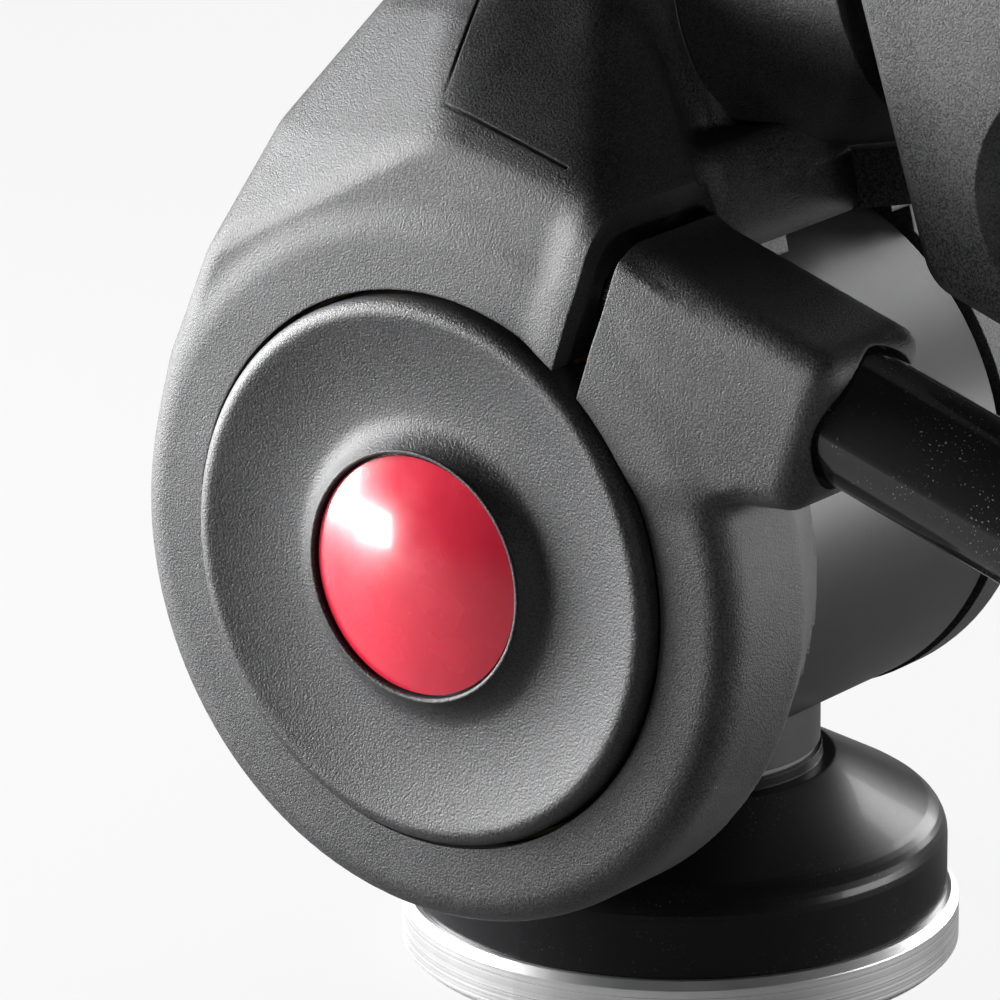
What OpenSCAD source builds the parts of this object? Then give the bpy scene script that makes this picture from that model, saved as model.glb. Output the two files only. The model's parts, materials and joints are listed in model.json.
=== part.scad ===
// Three-way pan tilt head: pan base, tilt drum in a split clamp housing, side-tilt barrel, camera platform.
// X runs along the tilt drum towards the cover disc, Y towards the operator, Z up from the disc's underside.

/* [Base] */
// Radius of the base disc
base_r = 30; // [29.5:0.5:34]
// Thickness of the base disc
base_disc_h = 6; // [5:0.5:8]
// Bevel on the edges of the base disc
base_bevel = 0.8; // [0.3:0.1:1.2]
// Radius of the base housing's wall
base_wall_r = 28.7; // [27:0.1:29.3]
// Height of the base housing, from the disc to the collar's top
base_housing_h = 16.4; // [15.5:0.1:18]
// Height of the wall, from the disc to the edge of the cone
base_wall_h = 8.6; // [7:0.1:9]
// Rounding between the wall and the cone
base_shoulder = 4; // [1:0.5:6]
// Radius of the collar under the neck
collar_r = 15.2; // [14:0.1:16]
// Height of the collar's straight edge
collar_h = 1.2; // [0.8:0.1:2]
// Ledge of the cone round the collar
collar_ledge = 1.4; // [0.5:0.1:3]
// Radius of the thread bush
thread_bush_r = 8; // [6.5:0.1:8.2]
// Wall radius of the tripod thread, tap size of the 3/8 inch thread
tripod_thread_r = 3.97; // [3.1:0.01:4.1]
// Depth of the tripod thread
tripod_thread_depth = 10; // [8:0.5:11]
// Circle radius of the screws that hold the disc to the housing
base_screw_circle = 20; // [16.5:0.5:22]
// Number of base screws
base_screw_count = 3; // [2:1:5]

/* [Pan] */
// Radius of the pan spindle
spindle_r = 8; // [7:0.1:8.4]
// Outer radius of the spindle's brake skirt
skirt_r = 11.4; // [11:0.1:12.5]
// Wall of the brake skirt
skirt_wall = 2.6; // [2:0.1:2.8]
// Height of the spindle in the neck
spindle_seat = 11; // [8:0.5:12]
// Wall of the pan bush
pan_bush_wall = 2.2; // [1.5:0.1:3]
// Flange thickness of the pan bush
pan_flange_h = 0.6; // [0.4:0.1:1]
// Height of the shelf over the brake skirt, above the disc
shelf_h = 8.4; // [7.5:0.1:9]
// Direction of the pan lock knob round the pan axis
knob_azimuth = 217; // [150:1:290]
// Height of the knob's axis above the disc
knob_axis_h = 3; // [2.6:0.1:3.4]
// Radius of the knob
knob_r = 6; // [5:0.1:6.2]
// Length of the knob
knob_len = 13; // [10:0.5:18]
// Gap between the knob and the base disc's edge
knob_gap = 0.6; // [0.4:0.1:2]
// Radius of the knob's stud
knob_stud_r = 2.2; // [1.5:0.1:2.4]
// Length of the brake shoe
shoe_len = 4; // [3:0.5:6]

/* [Drum] */
// Height of the tilt drum's underside above the collar
drum_z = 1.7; // [1.2:0.1:8.7]
// Radius of the tilt drum
drum_r = 28.9; // [28:0.1:29.5]
// Front end of the drum along the tilt axis
drum_front = 41.1; // [39.5:0.1:41.6]
// Rear end of the drum along the tilt axis
drum_rear = -18.5; // [-19:0.1:-17]
// Radius of the neck under the drum
neck_r = 15; // [13:0.1:15.2]
// Radius of the hollow in the drum's front end
drum_hollow_r = 22; // [16:0.5:25]
// Start of that hollow along the tilt axis
drum_hollow_x = 14; // [12:0.5:25]
// Radius of the cover disc
cover_r = 28.7; // [26:0.1:28.8]
// Flat front of the cover disc along the tilt axis
cover_face_x = 46; // [45:0.1:47]
// Rounding of the cover disc's rim
cover_rim = 2.2; // [0.5:0.1:3.5]
// Length of the cover disc's plug in the drum
cover_plug = 4; // [2:0.5:8]
// Radius of the red cap
cap_r = 12.5; // [9:0.1:15]
// Crown of the red cap
cap_crown = 2.2; // [1:0.1:4]
// Depth of the red cap's seat in the cover disc
cap_seat = 1.3; // [0.8:0.1:2.5]
// Width of the lip round the red cap
cap_lip_w = 2; // [1:0.1:4]
// Height of that lip
cap_lip_h = 0.6; // [0.2:0.1:1]

/* [Tilt housing] */
// Tilt of the housing from level, operator's side raised
tilt_pose = 13; // [0:1:25]
// Flat front face of the clamp ring along the tilt axis
ring_face_x = 44; // [43.4:0.1:44.9]
// Rear edge of the clamp ring along the tilt axis
ring_rear_x = 21.5; // [20.5:0.1:24]
// Height of the clamp ring over the drum
ring_r = 8.7; // [7.1:0.1:9.1]
// Height of the clamp ring over the drum at its rear edge
ring_rear_r = 4.1; // [2.6:0.1:4.6]
// Rounding of the front edge along the tilt axis
ring_round_x = 3.2; // [2:0.1:7]
// Rounding of the front edge across the tilt axis
ring_round_r = 3.2; // [1:0.1:4]
// Gap between the cover disc and the clamp ring's lip
cover_gap = 0.6; // [0.4:0.1:1.5]
// Thickness of the friction liner
liner_t = 0.6; // [0.4:0.05:1]
// Width of the slit between the jaws
slit_w = 3.6; // [2:0.1:5]
// Distance of the slit's upper wall from the tilt axis
slit_u = 8.2; // [6:0.1:10]
// Height of the jaws' top above the drum, square to the lever
jaw_top_v = 16.1; // [15.1:0.1:18.1]
// Height of the lever boss's top above the drum, square to the lever
boss_top_v = 14.7; // [14.6:0.1:16.1]
// Reach of the lever boss along the lever
boss_end_u = 38.2; // [35:0.1:43]
// Underside of the lever boss at its end, above the drum
boss_under_v = -1.9; // [-3.9:0.1:-1.5]
// Underside of the lever boss at the ring, above the drum
boss_root_v = -7.9; // [-11.9:0.1:-5.9]
// Rear face of the jaws along the tilt axis
jaw_rear_x = 26.8; // [25.4:0.1:27.4]
// Rounding of the boss's edges
boss_round = 3; // [1:0.1:4]
// Rounding of the upper jaw's outer corner
jaw_corner_r = 9; // [6:0.5:11]
// Rounding of the arm
arm_round = 9; // [6:0.5:10]
// Knee of the arm's front side, along the tilt axis
arm_knee_x = 31; // [29:0.5:32]
// Knee of the arm's front side, across the tilt axis
arm_knee_y = -10.5; // [-13:0.5:-8]
// Knee of the arm's front side, above the drum
arm_knee_z = 10.6; // [8.1:0.1:13.1]
// Head of the arm along the tilt axis
arm_head_x = 24; // [22:0.5:26]
// Front of the arm's head
arm_head_y = -1; // [-3:0.5:2]
// Height of the arm's head above the drum
arm_head_z = 20.1; // [17.1:0.1:23.1]
// Radius of the tower's round head
tower_r = 22; // [20:0.1:23]
// Front side of the tower
tower_y0 = -7; // [-9:0.5:-5]
// Operator's side of the tower
tower_y1 = 21.5; // [19:0.5:22]
// Gap between the tower and the drum
drum_gap = 2.3; // [1.5:0.1:4]
// Meeting plane of the front and rear housings along the tilt axis
split_x = 3; // [1:0.5:6]
// End of the cradle under the barrel, operator's side
cradle_y1 = 31.6; // [30:0.1:36]
// Underside of the cradle above the drum
cradle_z0 = -2.7; // [-4.3:0.1:-2.3]
// Rise of that underside towards the rear
cradle_rise = 0.9; // [0.5:0.1:2.4]
// Rear face of the rear housing along the tilt axis
rear_x = -25; // [-25.2:0.1:-24]
// Radius of the rear housing's disc
rear_disc_r = 29.2; // [28.5:0.1:30]
// Thickness of the rear wall
rear_wall = 3; // [2.5:0.1:3.4]
// Thickness of the thrust washer
thrust_t = 0.7; // [0.5:0.1:1]
// Radius of the pivot bolt's shoulder
pivot_r = 6; // [5:0.1:7]
// Radius of the rear cover
rear_cover_r = 25; // [20:0.5:27]
// Thickness of the rear cover
rear_cover_t = 0.8; // [0.6:0.1:1]

/* [Levers] */
// Angle of the tilt lever below the platform's level
lever_drop = 31; // [20:1:40]
// Tilt lever's place along the tilt axis
lever_x = 35.4; // [34.9:0.1:35.9]
// Height of the tilt lever above the drum
lever_v = 6.9; // [6.6:0.1:7.4]
// Radius of a lever's tube
lever_r = 7; // [6:0.1:7.4]
// Depth of the recess that takes a lever's root
lever_recess = 3; // [2:0.5:5]
// Bore of a lever's tube
lever_bore_r = 5.4; // [4.6:0.1:6]
// Length of a lever's tube
lever_len = 160; // [120:5:220]
// Radius of a lever's stud
stud_r = 4; // [3:0.1:4.2]
// Length of the stud in the tube
stud_seat = 24; // [15:1:30]
// Radius of the rubber grip
grip_r = 10.5; // [9:0.1:13]
// Length of the rubber grip
grip_len = 102; // [70:1:120]
// Rounding of the grip's ends
grip_round = 2.5; // [1:0.1:3]
// Number of grooves round the grip
grip_grooves = 9; // [3:1:14]
// Depth of a grip groove
groove_depth = 0.8; // [0.3:0.1:1.2]
// Thickness of the lever's end cap
end_cap_t = 4; // [2:0.5:8]
// Radius of the tilt clamp's nut
clamp_nut_r = 5.5; // [5:0.1:5.9]
// Length of the tilt clamp's nut
clamp_nut_len = 12; // [8:0.5:14]

/* [Side tilt] */
// Height of the barrel's axis above the drum
barrel_z = 21.9; // [21.1:0.1:23.1]
// Radius of the barrel
barrel_r = 18; // [15:0.1:18.2]
// Front end of the barrel
barrel_y0 = 24.6; // [24.2:0.1:25]
// Edge of the barrel's groove
barrel_groove_y = 44.3; // [42:0.1:46]
// Depth of the barrel's groove
barrel_groove = 3; // [1.5:0.1:4]
// Radius of the side-tilt shaft
shaft_r = 10; // [8:0.1:11]
// Wall of the bush and the liner on the shaft
shaft_liner_t = 1.4; // [1:0.1:2]
// Radius of the flange that carries the barrel on the tower
flange_r = 20; // [19:0.1:22]
// Thickness of the barrel's washer
barrel_washer_t = 0.7; // [0.5:0.1:1]
// Front face of the side-tilt clamp
clamp_y0 = 49; // [48.5:0.1:50]
// Half width of the side-tilt clamp
clamp_half_w = 21.5; // [20.5:0.1:22]
// Radius of the clamp's round top
clamp_top_r = 24.4; // [23:0.1:24.8]
// Place of the clamp bolt along the barrel
bolt_y = 72; // [72:0.5:75]
// Height of the clamp bolt above the drum
bolt_z = -1.1; // [-1.9:0.1:-0.5]
// Radius of the clamp's lobe round the bolt
lobe_r = 16.5; // [15.5:0.1:17.5]
// Radius of the nut recess
nut_recess_r = 13; // [9:0.1:13.5]
// Depth of the nut recess
nut_recess = 7; // [6:0.5:9]
// Rounding of the clamp's side edges
clamp_round = 1.2; // [0.5:0.1:2]
// Width of the clamp's slit
clamp_slit = 3; // [2:0.1:4]
// Lower front corner of the clamp
clamp_corner_y = 51.2; // [50:0.1:52]
// Slope of the clamp's underside into the lobe
lobe_lean = 32; // [20:1:40]
// Height of the link that carries the clamp on the cradle
link_h = 6; // [5:0.1:6.2]
// Rear side of the link along the tilt axis
link_x0 = -13; // [-15:0.5:-8]

/* [Platform] */
// Underside of the platform above the barrel's axis
platform_rise = 25.5; // [25.3:0.1:28]
// Half width of the platform
platform_half_w = 27; // [26.5:0.1:27.5]
// Front edge of the platform
platform_y0 = -6; // [-8:0.5:0]
// Rear edge of the platform
platform_y1 = 64; // [63.5:0.1:64.5]
// Rounding of the platform's corners
platform_round = 6; // [2:0.5:10]
// Thickness of the platform's floor
platform_floor = 5; // [4:0.1:7]
// Height of the dovetail rails above the floor
rail_h = 5.5; // [4.5:0.1:7]
// Half width of the dovetail groove at its floor
dovetail_half_w = 19; // [17:0.1:19.2]
// Lean of the dovetail's side over its height
dovetail_lean = 2.7; // [1.5:0.1:3.5]
// Front edge of the quick-release plate
plate_y0 = -2; // [-4:0.5:-1]
// Length of the quick-release plate
plate_len = 52; // [44:0.5:52.5]
// Half width of the quick-release plate's top
plate_half_w = 21; // [18:0.5:22]
// Thickness of the plate's top
plate_t = 4; // [3:0.1:6]
// Thickness of the plate's pad
pad_t = 1.2; // [0.8:0.1:2]
// Radius of the camera screw, 1/4 inch
camera_screw_r = 3.175; // [3:0.005:3.2]
// Length of the camera screw above the pad
camera_screw_len = 5; // [4:0.1:6]
// Thickness of the release lever
release_t = 3; // [2:0.1:3.4]
// Length of the release lever
release_len = 40; // [30:1:46]
// Width of the release lever
release_w = 3.6; // [2.5:0.1:5]
// Radius of the release lever's hub
release_hub_r = 4.2; // [3.5:0.1:4.4]
// Radius of the bubble level's cup
level_r = 5.5; // [4:0.1:5.8]
// Depth of the bubble level's cup
level_h = 5; // [4:0.1:6]

/* [Hidden] */
$fn = 64;

// Clearances: of a running fit, between seated pieces, and between pieces that pass each other
run_gap = 0.05;
seat_gap = 0.02;
pass_gap = 0.35;
// Overlap of cutters past the faces that they open
cut = 1;

// Thickness of the slices that blended shapes are stretched over
slice_t = 0.2;
// Step of a blended face behind the turned face that it runs into
flush = 0.04;

// Heights on the pan axis
disc_top = base_disc_h;
collar_z = disc_top + base_housing_h;
shelf_z = disc_top + shelf_h;
neck_z = collar_z + pan_flange_h + run_gap;
spindle_top = neck_z + spindle_seat;
base_screw_bite = 6;
base_screw_top = disc_top + base_screw_bite;
base_edge = max(base_r, base_wall_r);
knob_z = disc_top + knob_axis_h;
knob_face = base_edge + knob_gap;
knob_hole = knob_face + knob_len - 3;
shoe_end = skirt_r + pass_gap + shoe_len;

// Tilt axis above the collar, and heights above the drum as distances from that axis
axis_z = collar_z + drum_z + drum_r;
ring_top_r = drum_r + ring_r;
ring_foot_r = drum_r + ring_rear_r;
jaw_top = drum_r + jaw_top_v;
boss_top = drum_r + boss_top_v;
boss_under = drum_r + boss_under_v;
boss_root = drum_r + boss_root_v;
lever_rise = drum_r + lever_v;
arm_knee = [arm_knee_x, arm_knee_y, drum_r + arm_knee_z];
arm_head = [arm_head_x, arm_head_y, drum_r + arm_head_z];
cradle_under = drum_r + cradle_z0;
barrel_rise = drum_r + barrel_z;
bolt_rise = drum_r + bolt_z;

// Clamp ring, jaws and drum clearance
ring_bore_r = drum_r + run_gap + liner_t + seat_gap;
ring_taper_x = ring_rear_x + 0.45 * (ring_face_x - ring_rear_x);
liner_x1 = drum_front - 0.6;
ring_lip_r = cover_r + cover_gap;
ring_lip_x = drum_front + pass_gap;
tower_clear_r = drum_r + drum_gap;
jaw_corner = [slit_u - jaw_corner_r, jaw_top - jaw_corner_r];
boss_u0 = slit_u + slit_w;
lever_gap = 0.6;
clamp_nut_at = slit_u - 3 - clamp_nut_len - boss_end_u + lever_recess;

// Stack at the drum's rear end
washer_x = drum_rear - run_gap - thrust_t;
wall_x1 = washer_x - seat_gap;
wall_x0 = wall_x1 - rear_wall;
pivot_thread = 11;
pivot_head_t = 1.2;
pivot_head_r = pivot_r + 3;

// Screws through the housings: shank and head radius, places of head and tip, distance from the shaft
small_screw = [2, 3];
screw_head_x = -8;
screw_end_x = 13;
screw_rise = 15;

// Side tilt
liner_r = shaft_r + run_gap + shaft_liner_t;
shaft_y0 = tower_y0 + 1.5;
shaft_nut_t = 3.2;
shaft_nut_r = shaft_r + 1;
shaft_end = 1.5;
nut_pocket_y = shaft_y0 + shaft_nut_t + run_gap;
nut_pocket_r = shaft_nut_r + 1.5;
flange_y1 = barrel_y0 - 2 * run_gap - barrel_washer_t;
barrel_y1 = clamp_y0 - pass_gap;
clamp_y1 = bolt_y + lobe_r;
link_z1 = barrel_rise - barrel_r - pass_gap;
link_z0 = link_z1 - link_h;
link_len = 14;
link_screw_inset = [3.4, 10];
link_y0 = cradle_y1 - link_len;
side_nut_r = 7.5;
side_nut_t = 6;
side_nut_seat = 5;

// Platform levels above the tilt axis, its post and what is set into it
platform_z = barrel_rise + platform_rise;
groove_z = platform_z + platform_floor;
rail_z = groove_z + rail_h;
post_y0 = barrel_y0 + 1.5;
post_y1 = barrel_groove_y - 1;
post_half_w = 13;
post_screws = [post_y0 + 4, post_y1 - 4];
post_screw_r = 2.5;
post_screw_head_r = 4.2;
post_screw_head_t = 2.6;
level_y = (plate_y0 + plate_len + platform_y1) / 2 + 0.4;
release_x = platform_half_w - 3;
release_inset = 8;
release_y = plate_y0 + plate_len - release_inset;
release_z = groove_z + 0.9;
release_pin_r = 1.6;
release_pin_z = platform_z + 1;

// Quick-release plate
plate_foot_z = groove_z + 0.1;
plate_z = rail_z + pass_gap;
pad_z = plate_z + plate_t;
plate_mid_y = plate_y0 + plate_len / 2;
camera_head_r = 7;
camera_head_t = 4;
camera_head_z = plate_foot_z + 0.6;

// Points of a corner at b, between a and c, rounded by r
function unit(v) = v / norm(v);
function corner(a, b, c, r, n) =
    let (p = unit(a - b), q = unit(c - b), half = acos(p * q) / 2)
    let (m = b + unit(p + q) * r / sin(half), s = b + p * r / tan(half), e = b + q * r / tan(half))
    let (a0 = atan2(s.y - m.y, s.x - m.x), turn = atan2(e.y - m.y, e.x - m.x) - a0)
    let (sweep = turn > 180 ? turn - 360 : turn < -180 ? turn + 360 : turn)
    r <= 0 ? [b] : [for (i = [0:n]) m + r * [cos(a0 + sweep * i / n), sin(a0 + sweep * i / n)]];
// Outline of [point, radius] pairs with its corners rounded
function rounded(path, n = 6) =
    let (k = len(path))
    [for (i = [0:k - 1])
        each corner(path[(i + k - 1) % k][0], path[i][0], path[(i + 1) % k][0], path[i][1], n)];
// Quarter ellipse from [a, 0] to [0, b]
function quarter(a, b, n = 8) = [for (i = [0:n]) [a * cos(90 * i / n), b * sin(90 * i / n)]];

// Solids along the axes
module rod_x(r, x0, x1) { translate([x0, 0, 0]) rotate([0, 90, 0]) cylinder(r = r, h = x1 - x0); }
module rod_y(r, y0, y1) { translate([0, y0, 0]) rotate([-90, 0, 0]) cylinder(r = r, h = y1 - y0); }
module rod_z(r, z0, z1) { translate([0, 0, z0]) cylinder(r = r, h = z1 - z0); }
// Solid of revolution about X from a profile of [radius, x]
module turned_x() { rotate([0, 90, 0]) rotate_extrude() children(); }
// Box between two corners
module block(a, b) { translate(a) cube(b - a); }

// Frames: on the tilt axis, in the level of the platform, and along the tilt lever
module tilt_axis() { translate([0, 0, axis_z]) children(); }
module level_frame() { tilt_axis() rotate([tilt_pose, 0, 0]) children(); }
module lever_frame() { tilt_axis() rotate([tilt_pose - lever_drop, 0, 0]) children(); }
module barrel_frame() { level_frame() translate([0, 0, barrel_rise]) children(); }
module tilt_lever_seat() {
    lever_frame() translate([lever_x, boss_end_u - lever_recess, lever_rise]) rotate([-90, 0, 0]) children();
}
module side_lever_seat() {
    level_frame() translate([lever_recess - clamp_half_w, bolt_y, bolt_rise]) rotate([0, -90, 0]) children();
}
module knob_axis() { rotate([0, 0, knob_azimuth]) translate([0, 0, knob_z]) children(); }

// Base: disc, thread bush, housing and what holds and brakes the spindle
module base_screw_places() {
    for (i = [0:base_screw_count - 1])
        rotate(i * 360 / base_screw_count) translate([base_screw_circle, 0, 0]) children();
}
module countersunk(gap) {
    translate([0, 0, 0.3 - gap]) cylinder(r1 = small_screw[1] + gap, r2 = small_screw[0] + gap, h = 2);
    rod_z(small_screw[0] + gap, 0.3, base_screw_top + gap);
}

module base_disc() {
    rim = base_r - base_bevel;
    edge = [[thread_bush_r + seat_gap, 0], [rim, 0], [base_r, base_bevel], [base_r, disc_top - base_bevel],
            [rim, disc_top], [thread_bush_r + seat_gap, disc_top]];
    color("gainsboro") difference() {
        rotate_extrude() polygon(edge);
        base_screw_places() {
            countersunk(seat_gap);
            rod_z(small_screw[1] + seat_gap, -cut, 0.3);
        }
    }
}

module thread_bush() {
    color("silver") difference() {
        rod_z(thread_bush_r, 0, tripod_thread_depth);
        rod_z(tripod_thread_r, -cut, tripod_thread_depth + cut);
    }
}

module base_housing() {
    bush_r = spindle_r + run_gap + pan_bush_wall + seat_gap;
    pocket_r = skirt_r + pass_gap;
    cone_r = collar_r + collar_ledge;
    wall = rounded([
        [[pocket_r, disc_top], 0], [[base_wall_r, disc_top], 0],
        [[base_wall_r, disc_top + base_wall_h], base_shoulder], [[cone_r, collar_z - collar_h], 0.6],
        [[collar_r, collar_z - collar_h], 0], [[collar_r, collar_z], 0],
        [[bush_r, collar_z], 0], [[bush_r, shelf_z], 0], [[pocket_r, shelf_z], 0]]);
    color("#18181a") difference() {
        rotate_extrude() polygon(wall);
        knob_axis() rod_x(knob_stud_r + run_gap, skirt_r, base_edge + cut);
        base_screw_places() rod_z(small_screw[0] + seat_gap, disc_top - cut, base_screw_top + cut);
    }
}

module base_screws() { color("#303033") base_screw_places() countersunk(0); }

module pan_bush() {
    inner = spindle_r + run_gap;
    outer = inner + pan_bush_wall;
    flange = collar_r - 0.6;
    color("#2b2b2b") rotate_extrude() polygon([
        [inner, shelf_z], [outer, shelf_z], [outer, collar_z], [flange, collar_z],
        [flange, collar_z + pan_flange_h], [inner, collar_z + pan_flange_h]]);
}

module brake_shoe() {
    color("peru") knob_axis() rod_x(knob_stud_r, skirt_r + pass_gap, shoe_end);
}

// Pan lock: knob with finger flutes, and its stud
module pan_knob() {
    flutes = 10;
    flute_r = 1.3;
    tip = knob_face + knob_len;
    color("#1b1b1b") knob_axis() difference() {
        turned_x() polygon(rounded([
            [[knob_stud_r + seat_gap, knob_face], 0], [[knob_r - 1.4, knob_face], 0],
            [[knob_r, knob_face + 2], 0.8], [[knob_r, tip], 1.2], [[0, tip], 0],
            [[0, knob_hole], 0], [[knob_stud_r + seat_gap, knob_hole], 0]]));
        for (i = [0:flutes - 1]) rotate([i * 360 / flutes, 0, 0])
            translate([0, 0, knob_r + flute_r * 0.45]) rod_x(flute_r, knob_face - cut, tip - 2);
    }
}

module pan_stud() {
    color("silver") knob_axis() rod_x(knob_stud_r, shoe_end + run_gap, knob_hole - seat_gap);
}

// Pan body: spindle, neck with the tilt drum, cover disc, red cap and pivot bolt
module pan_spindle() {
    inner = skirt_r - skirt_wall;
    roof = tripod_thread_depth + pass_gap;
    color("silver") rotate_extrude() polygon([
        [inner, disc_top + pass_gap], [skirt_r, disc_top + pass_gap], [skirt_r, shelf_z - pass_gap],
        [spindle_r, shelf_z - pass_gap], [spindle_r, spindle_top], [0, spindle_top],
        [0, roof], [inner, roof]]);
}

module tilt_drum() {
    edge = 0.8;
    color("#232325") difference() {
        union() {
            tilt_axis() turned_x() polygon([
                [0, drum_rear], [drum_r - edge, drum_rear], [drum_r, drum_rear + edge],
                [drum_r, drum_front - edge], [drum_r - edge, drum_front], [0, drum_front]]);
            rod_z(neck_r, neck_z, axis_z - drum_r / 2);
        }
        tilt_axis() rod_x(drum_hollow_r, drum_hollow_x, drum_front + cut);
        rod_z(spindle_r + seat_gap, neck_z - cut, spindle_top + seat_gap);
        tilt_axis() rod_x(stud_r + seat_gap, drum_rear - cut, drum_rear + pivot_thread + cut);
    }
}

module cover_disc() {
    back = drum_front + seat_gap;
    plug_r = drum_hollow_r - seat_gap;
    plug_in = plug_r - 2;
    seat_r = cap_r + 0.3;
    lip_r = seat_r + cap_lip_w;
    seat_x = cover_face_x + cap_lip_h - cap_seat;
    color("#454547") tilt_axis() turned_x() polygon(rounded([
        [[0, back], 0], [[plug_in, back], 0], [[plug_in, back - cover_plug], 0],
        [[plug_r, back - cover_plug], 0], [[plug_r, back], 0], [[cover_r, back], 0],
        [[cover_r, cover_face_x], cover_rim], [[lip_r, cover_face_x], 2],
        [[seat_r, cover_face_x + cap_lip_h], 0.3], [[seat_r, seat_x], 0], [[0, seat_x], 0]]));
}

module red_cap() {
    seat_x = cover_face_x + cap_lip_h - cap_seat + seat_gap;
    rim_x = cover_face_x - 0.1;
    ball_r = (cap_r * cap_r + cap_crown * cap_crown) / (2 * cap_crown);
    color("crimson") tilt_axis() intersection() {
        rod_x(cap_r, seat_x, rim_x + cap_crown + cut);
        translate([rim_x + cap_crown - ball_r, 0, 0]) sphere(r = ball_r, $fn = 240);
    }
}

module pivot_bolt() {
    color("silver") tilt_axis() {
        rod_x(stud_r, drum_rear - cut, drum_rear + pivot_thread);
        rod_x(pivot_r, wall_x0 - run_gap, drum_rear);
        difference() {
            rod_x(pivot_head_r, wall_x0 - run_gap - pivot_head_t, wall_x0 - run_gap);
            rotate([90, 0, 90]) translate([0, 0, wall_x0 - run_gap - pivot_head_t - cut])
                cylinder(r = 3, h = cut + 0.9, $fn = 6);
        }
    }
}

// Tilt housing: the clamp ring, its jaws and arm, and the tower that carries the side tilt
module ring_profile() {
    edge = 1.2;
    front = [for (p = quarter(ring_round_r, ring_round_x))
        [ring_top_r - ring_round_r + p.x, ring_face_x - ring_round_x + p.y]];
    polygon(concat(
        [[0, ring_rear_x], [ring_foot_r - edge, ring_rear_x], [ring_foot_r, ring_rear_x + edge],
         [ring_top_r, ring_taper_x]],
        front, [[0, ring_face_x]]));
}

// Bore for the liner and the drum, and the lip round the cover disc in front of them
module ring_bore() {
    bevel = 0.6;
    turned_x() polygon([
        [0, ring_rear_x - cut], [ring_bore_r, ring_rear_x - cut], [ring_bore_r, ring_lip_x],
        [ring_lip_r, ring_lip_x], [ring_lip_r, ring_face_x - bevel],
        [ring_lip_r + bevel + cut, ring_face_x + cut], [0, ring_face_x + cut]]);
}

// Thin slice of the arm's foot: the ring's circle, and the upper jaw's corner in front of the jaw's rear face
module arm_slice(x, inset) {
    inside = 0.4;
    translate([x - slice_t, 0, 0]) rotate([90, 0, 90]) linear_extrude(slice_t) {
        circle(r = ring_top_r - inset - inside);
        if (x > jaw_rear_x) rotate(-lever_drop) translate(jaw_corner) circle(r = jaw_corner_r - inset);
    }
}

module arm() {
    rear_edge = 1.2;
    shoulder = [arm_head.x, tower_y1 - arm_round, arm_head.z + 4];
    hull($fn = 48) {
        arm_slice(ring_rear_x + rear_edge, ring_top_r - ring_foot_r + rear_edge);
        arm_slice(ring_taper_x, 0);
        for (a = [0, 25, 50, 70, 90])
            arm_slice(ring_face_x - flush - ring_round_x * (1 - sin(a)), ring_round_r * (1 - cos(a)));
        for (p = [arm_knee, arm_head, shoulder]) translate(p) sphere(r = arm_round, $fn = 32);
    }
}

// Lower jaw with the lever boss, in the lever's frame
module boss_slice(x, inset) {
    translate([x - slice_t, 0, 0]) rotate([90, 0, 90]) linear_extrude(slice_t) polygon(rounded([
        [[boss_u0, boss_root + inset], 0], [[boss_u0 + 12, boss_root + inset], 2],
        [[boss_end_u - inset / 2, boss_under + inset], 3], [[boss_end_u - inset / 2, boss_top - inset], 3],
        [[boss_u0, boss_top - inset], 2.5]]));
}

module lower_jaw() {
    hull() {
        boss_slice(jaw_rear_x + slice_t, boss_round / 2);
        boss_slice(jaw_rear_x + boss_round / 2, 0);
        for (a = [0, 30, 60, 90])
            boss_slice(ring_face_x - 2 * flush - boss_round * (1 - sin(a)), boss_round * (1 - cos(a)));
    }
}

// Upright of the tower between x0 and x1, and the round head that holds the side-tilt shaft
module tower(x0, x1) {
    level_frame() block([x0, tower_y0, 0], [x1, tower_y1, barrel_rise]);
    barrel_frame() intersection() {
        rod_y(tower_r, tower_y0, tower_y1);
        block([x0, tower_y0, -tower_r], [x1, tower_y1, tower_r]);
    }
    barrel_frame() intersection() {
        rod_y(flange_r, tower_y1 - cut, flange_y1);
        block([x0, tower_y0, -flange_r], [x1, flange_y1, flange_r]);
    }
}

// What the tower is bored for: bush, shaft nut, barrel and the screws that join its halves
module tower_bores() {
    barrel_frame() {
        rod_y(barrel_r + pass_gap, flange_y1, clamp_y1);
        rod_y(liner_r + seat_gap, tower_y0 - cut, flange_y1 + cut);
        rod_y(nut_pocket_r, tower_y0 - cut, nut_pocket_y);
    }
    housing_screw_places() rod_x(small_screw[0] + seat_gap, rear_x - cut, screw_end_x + cut);
    link_screw_places() rod_x(small_screw[0] + seat_gap, 0, screw_end_x + cut);
}

module housing_screw_places() {
    for (y = [tower_y0 + 4.5, tower_y1 - 6], z = [-screw_rise, screw_rise + 2])
        barrel_frame() translate([0, y, z]) children();
}
module link_screw_places() {
    for (inset = link_screw_inset) level_frame()
        translate([0, cradle_y1 - inset, (link_z0 + link_z1) / 2]) children();
}

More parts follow.
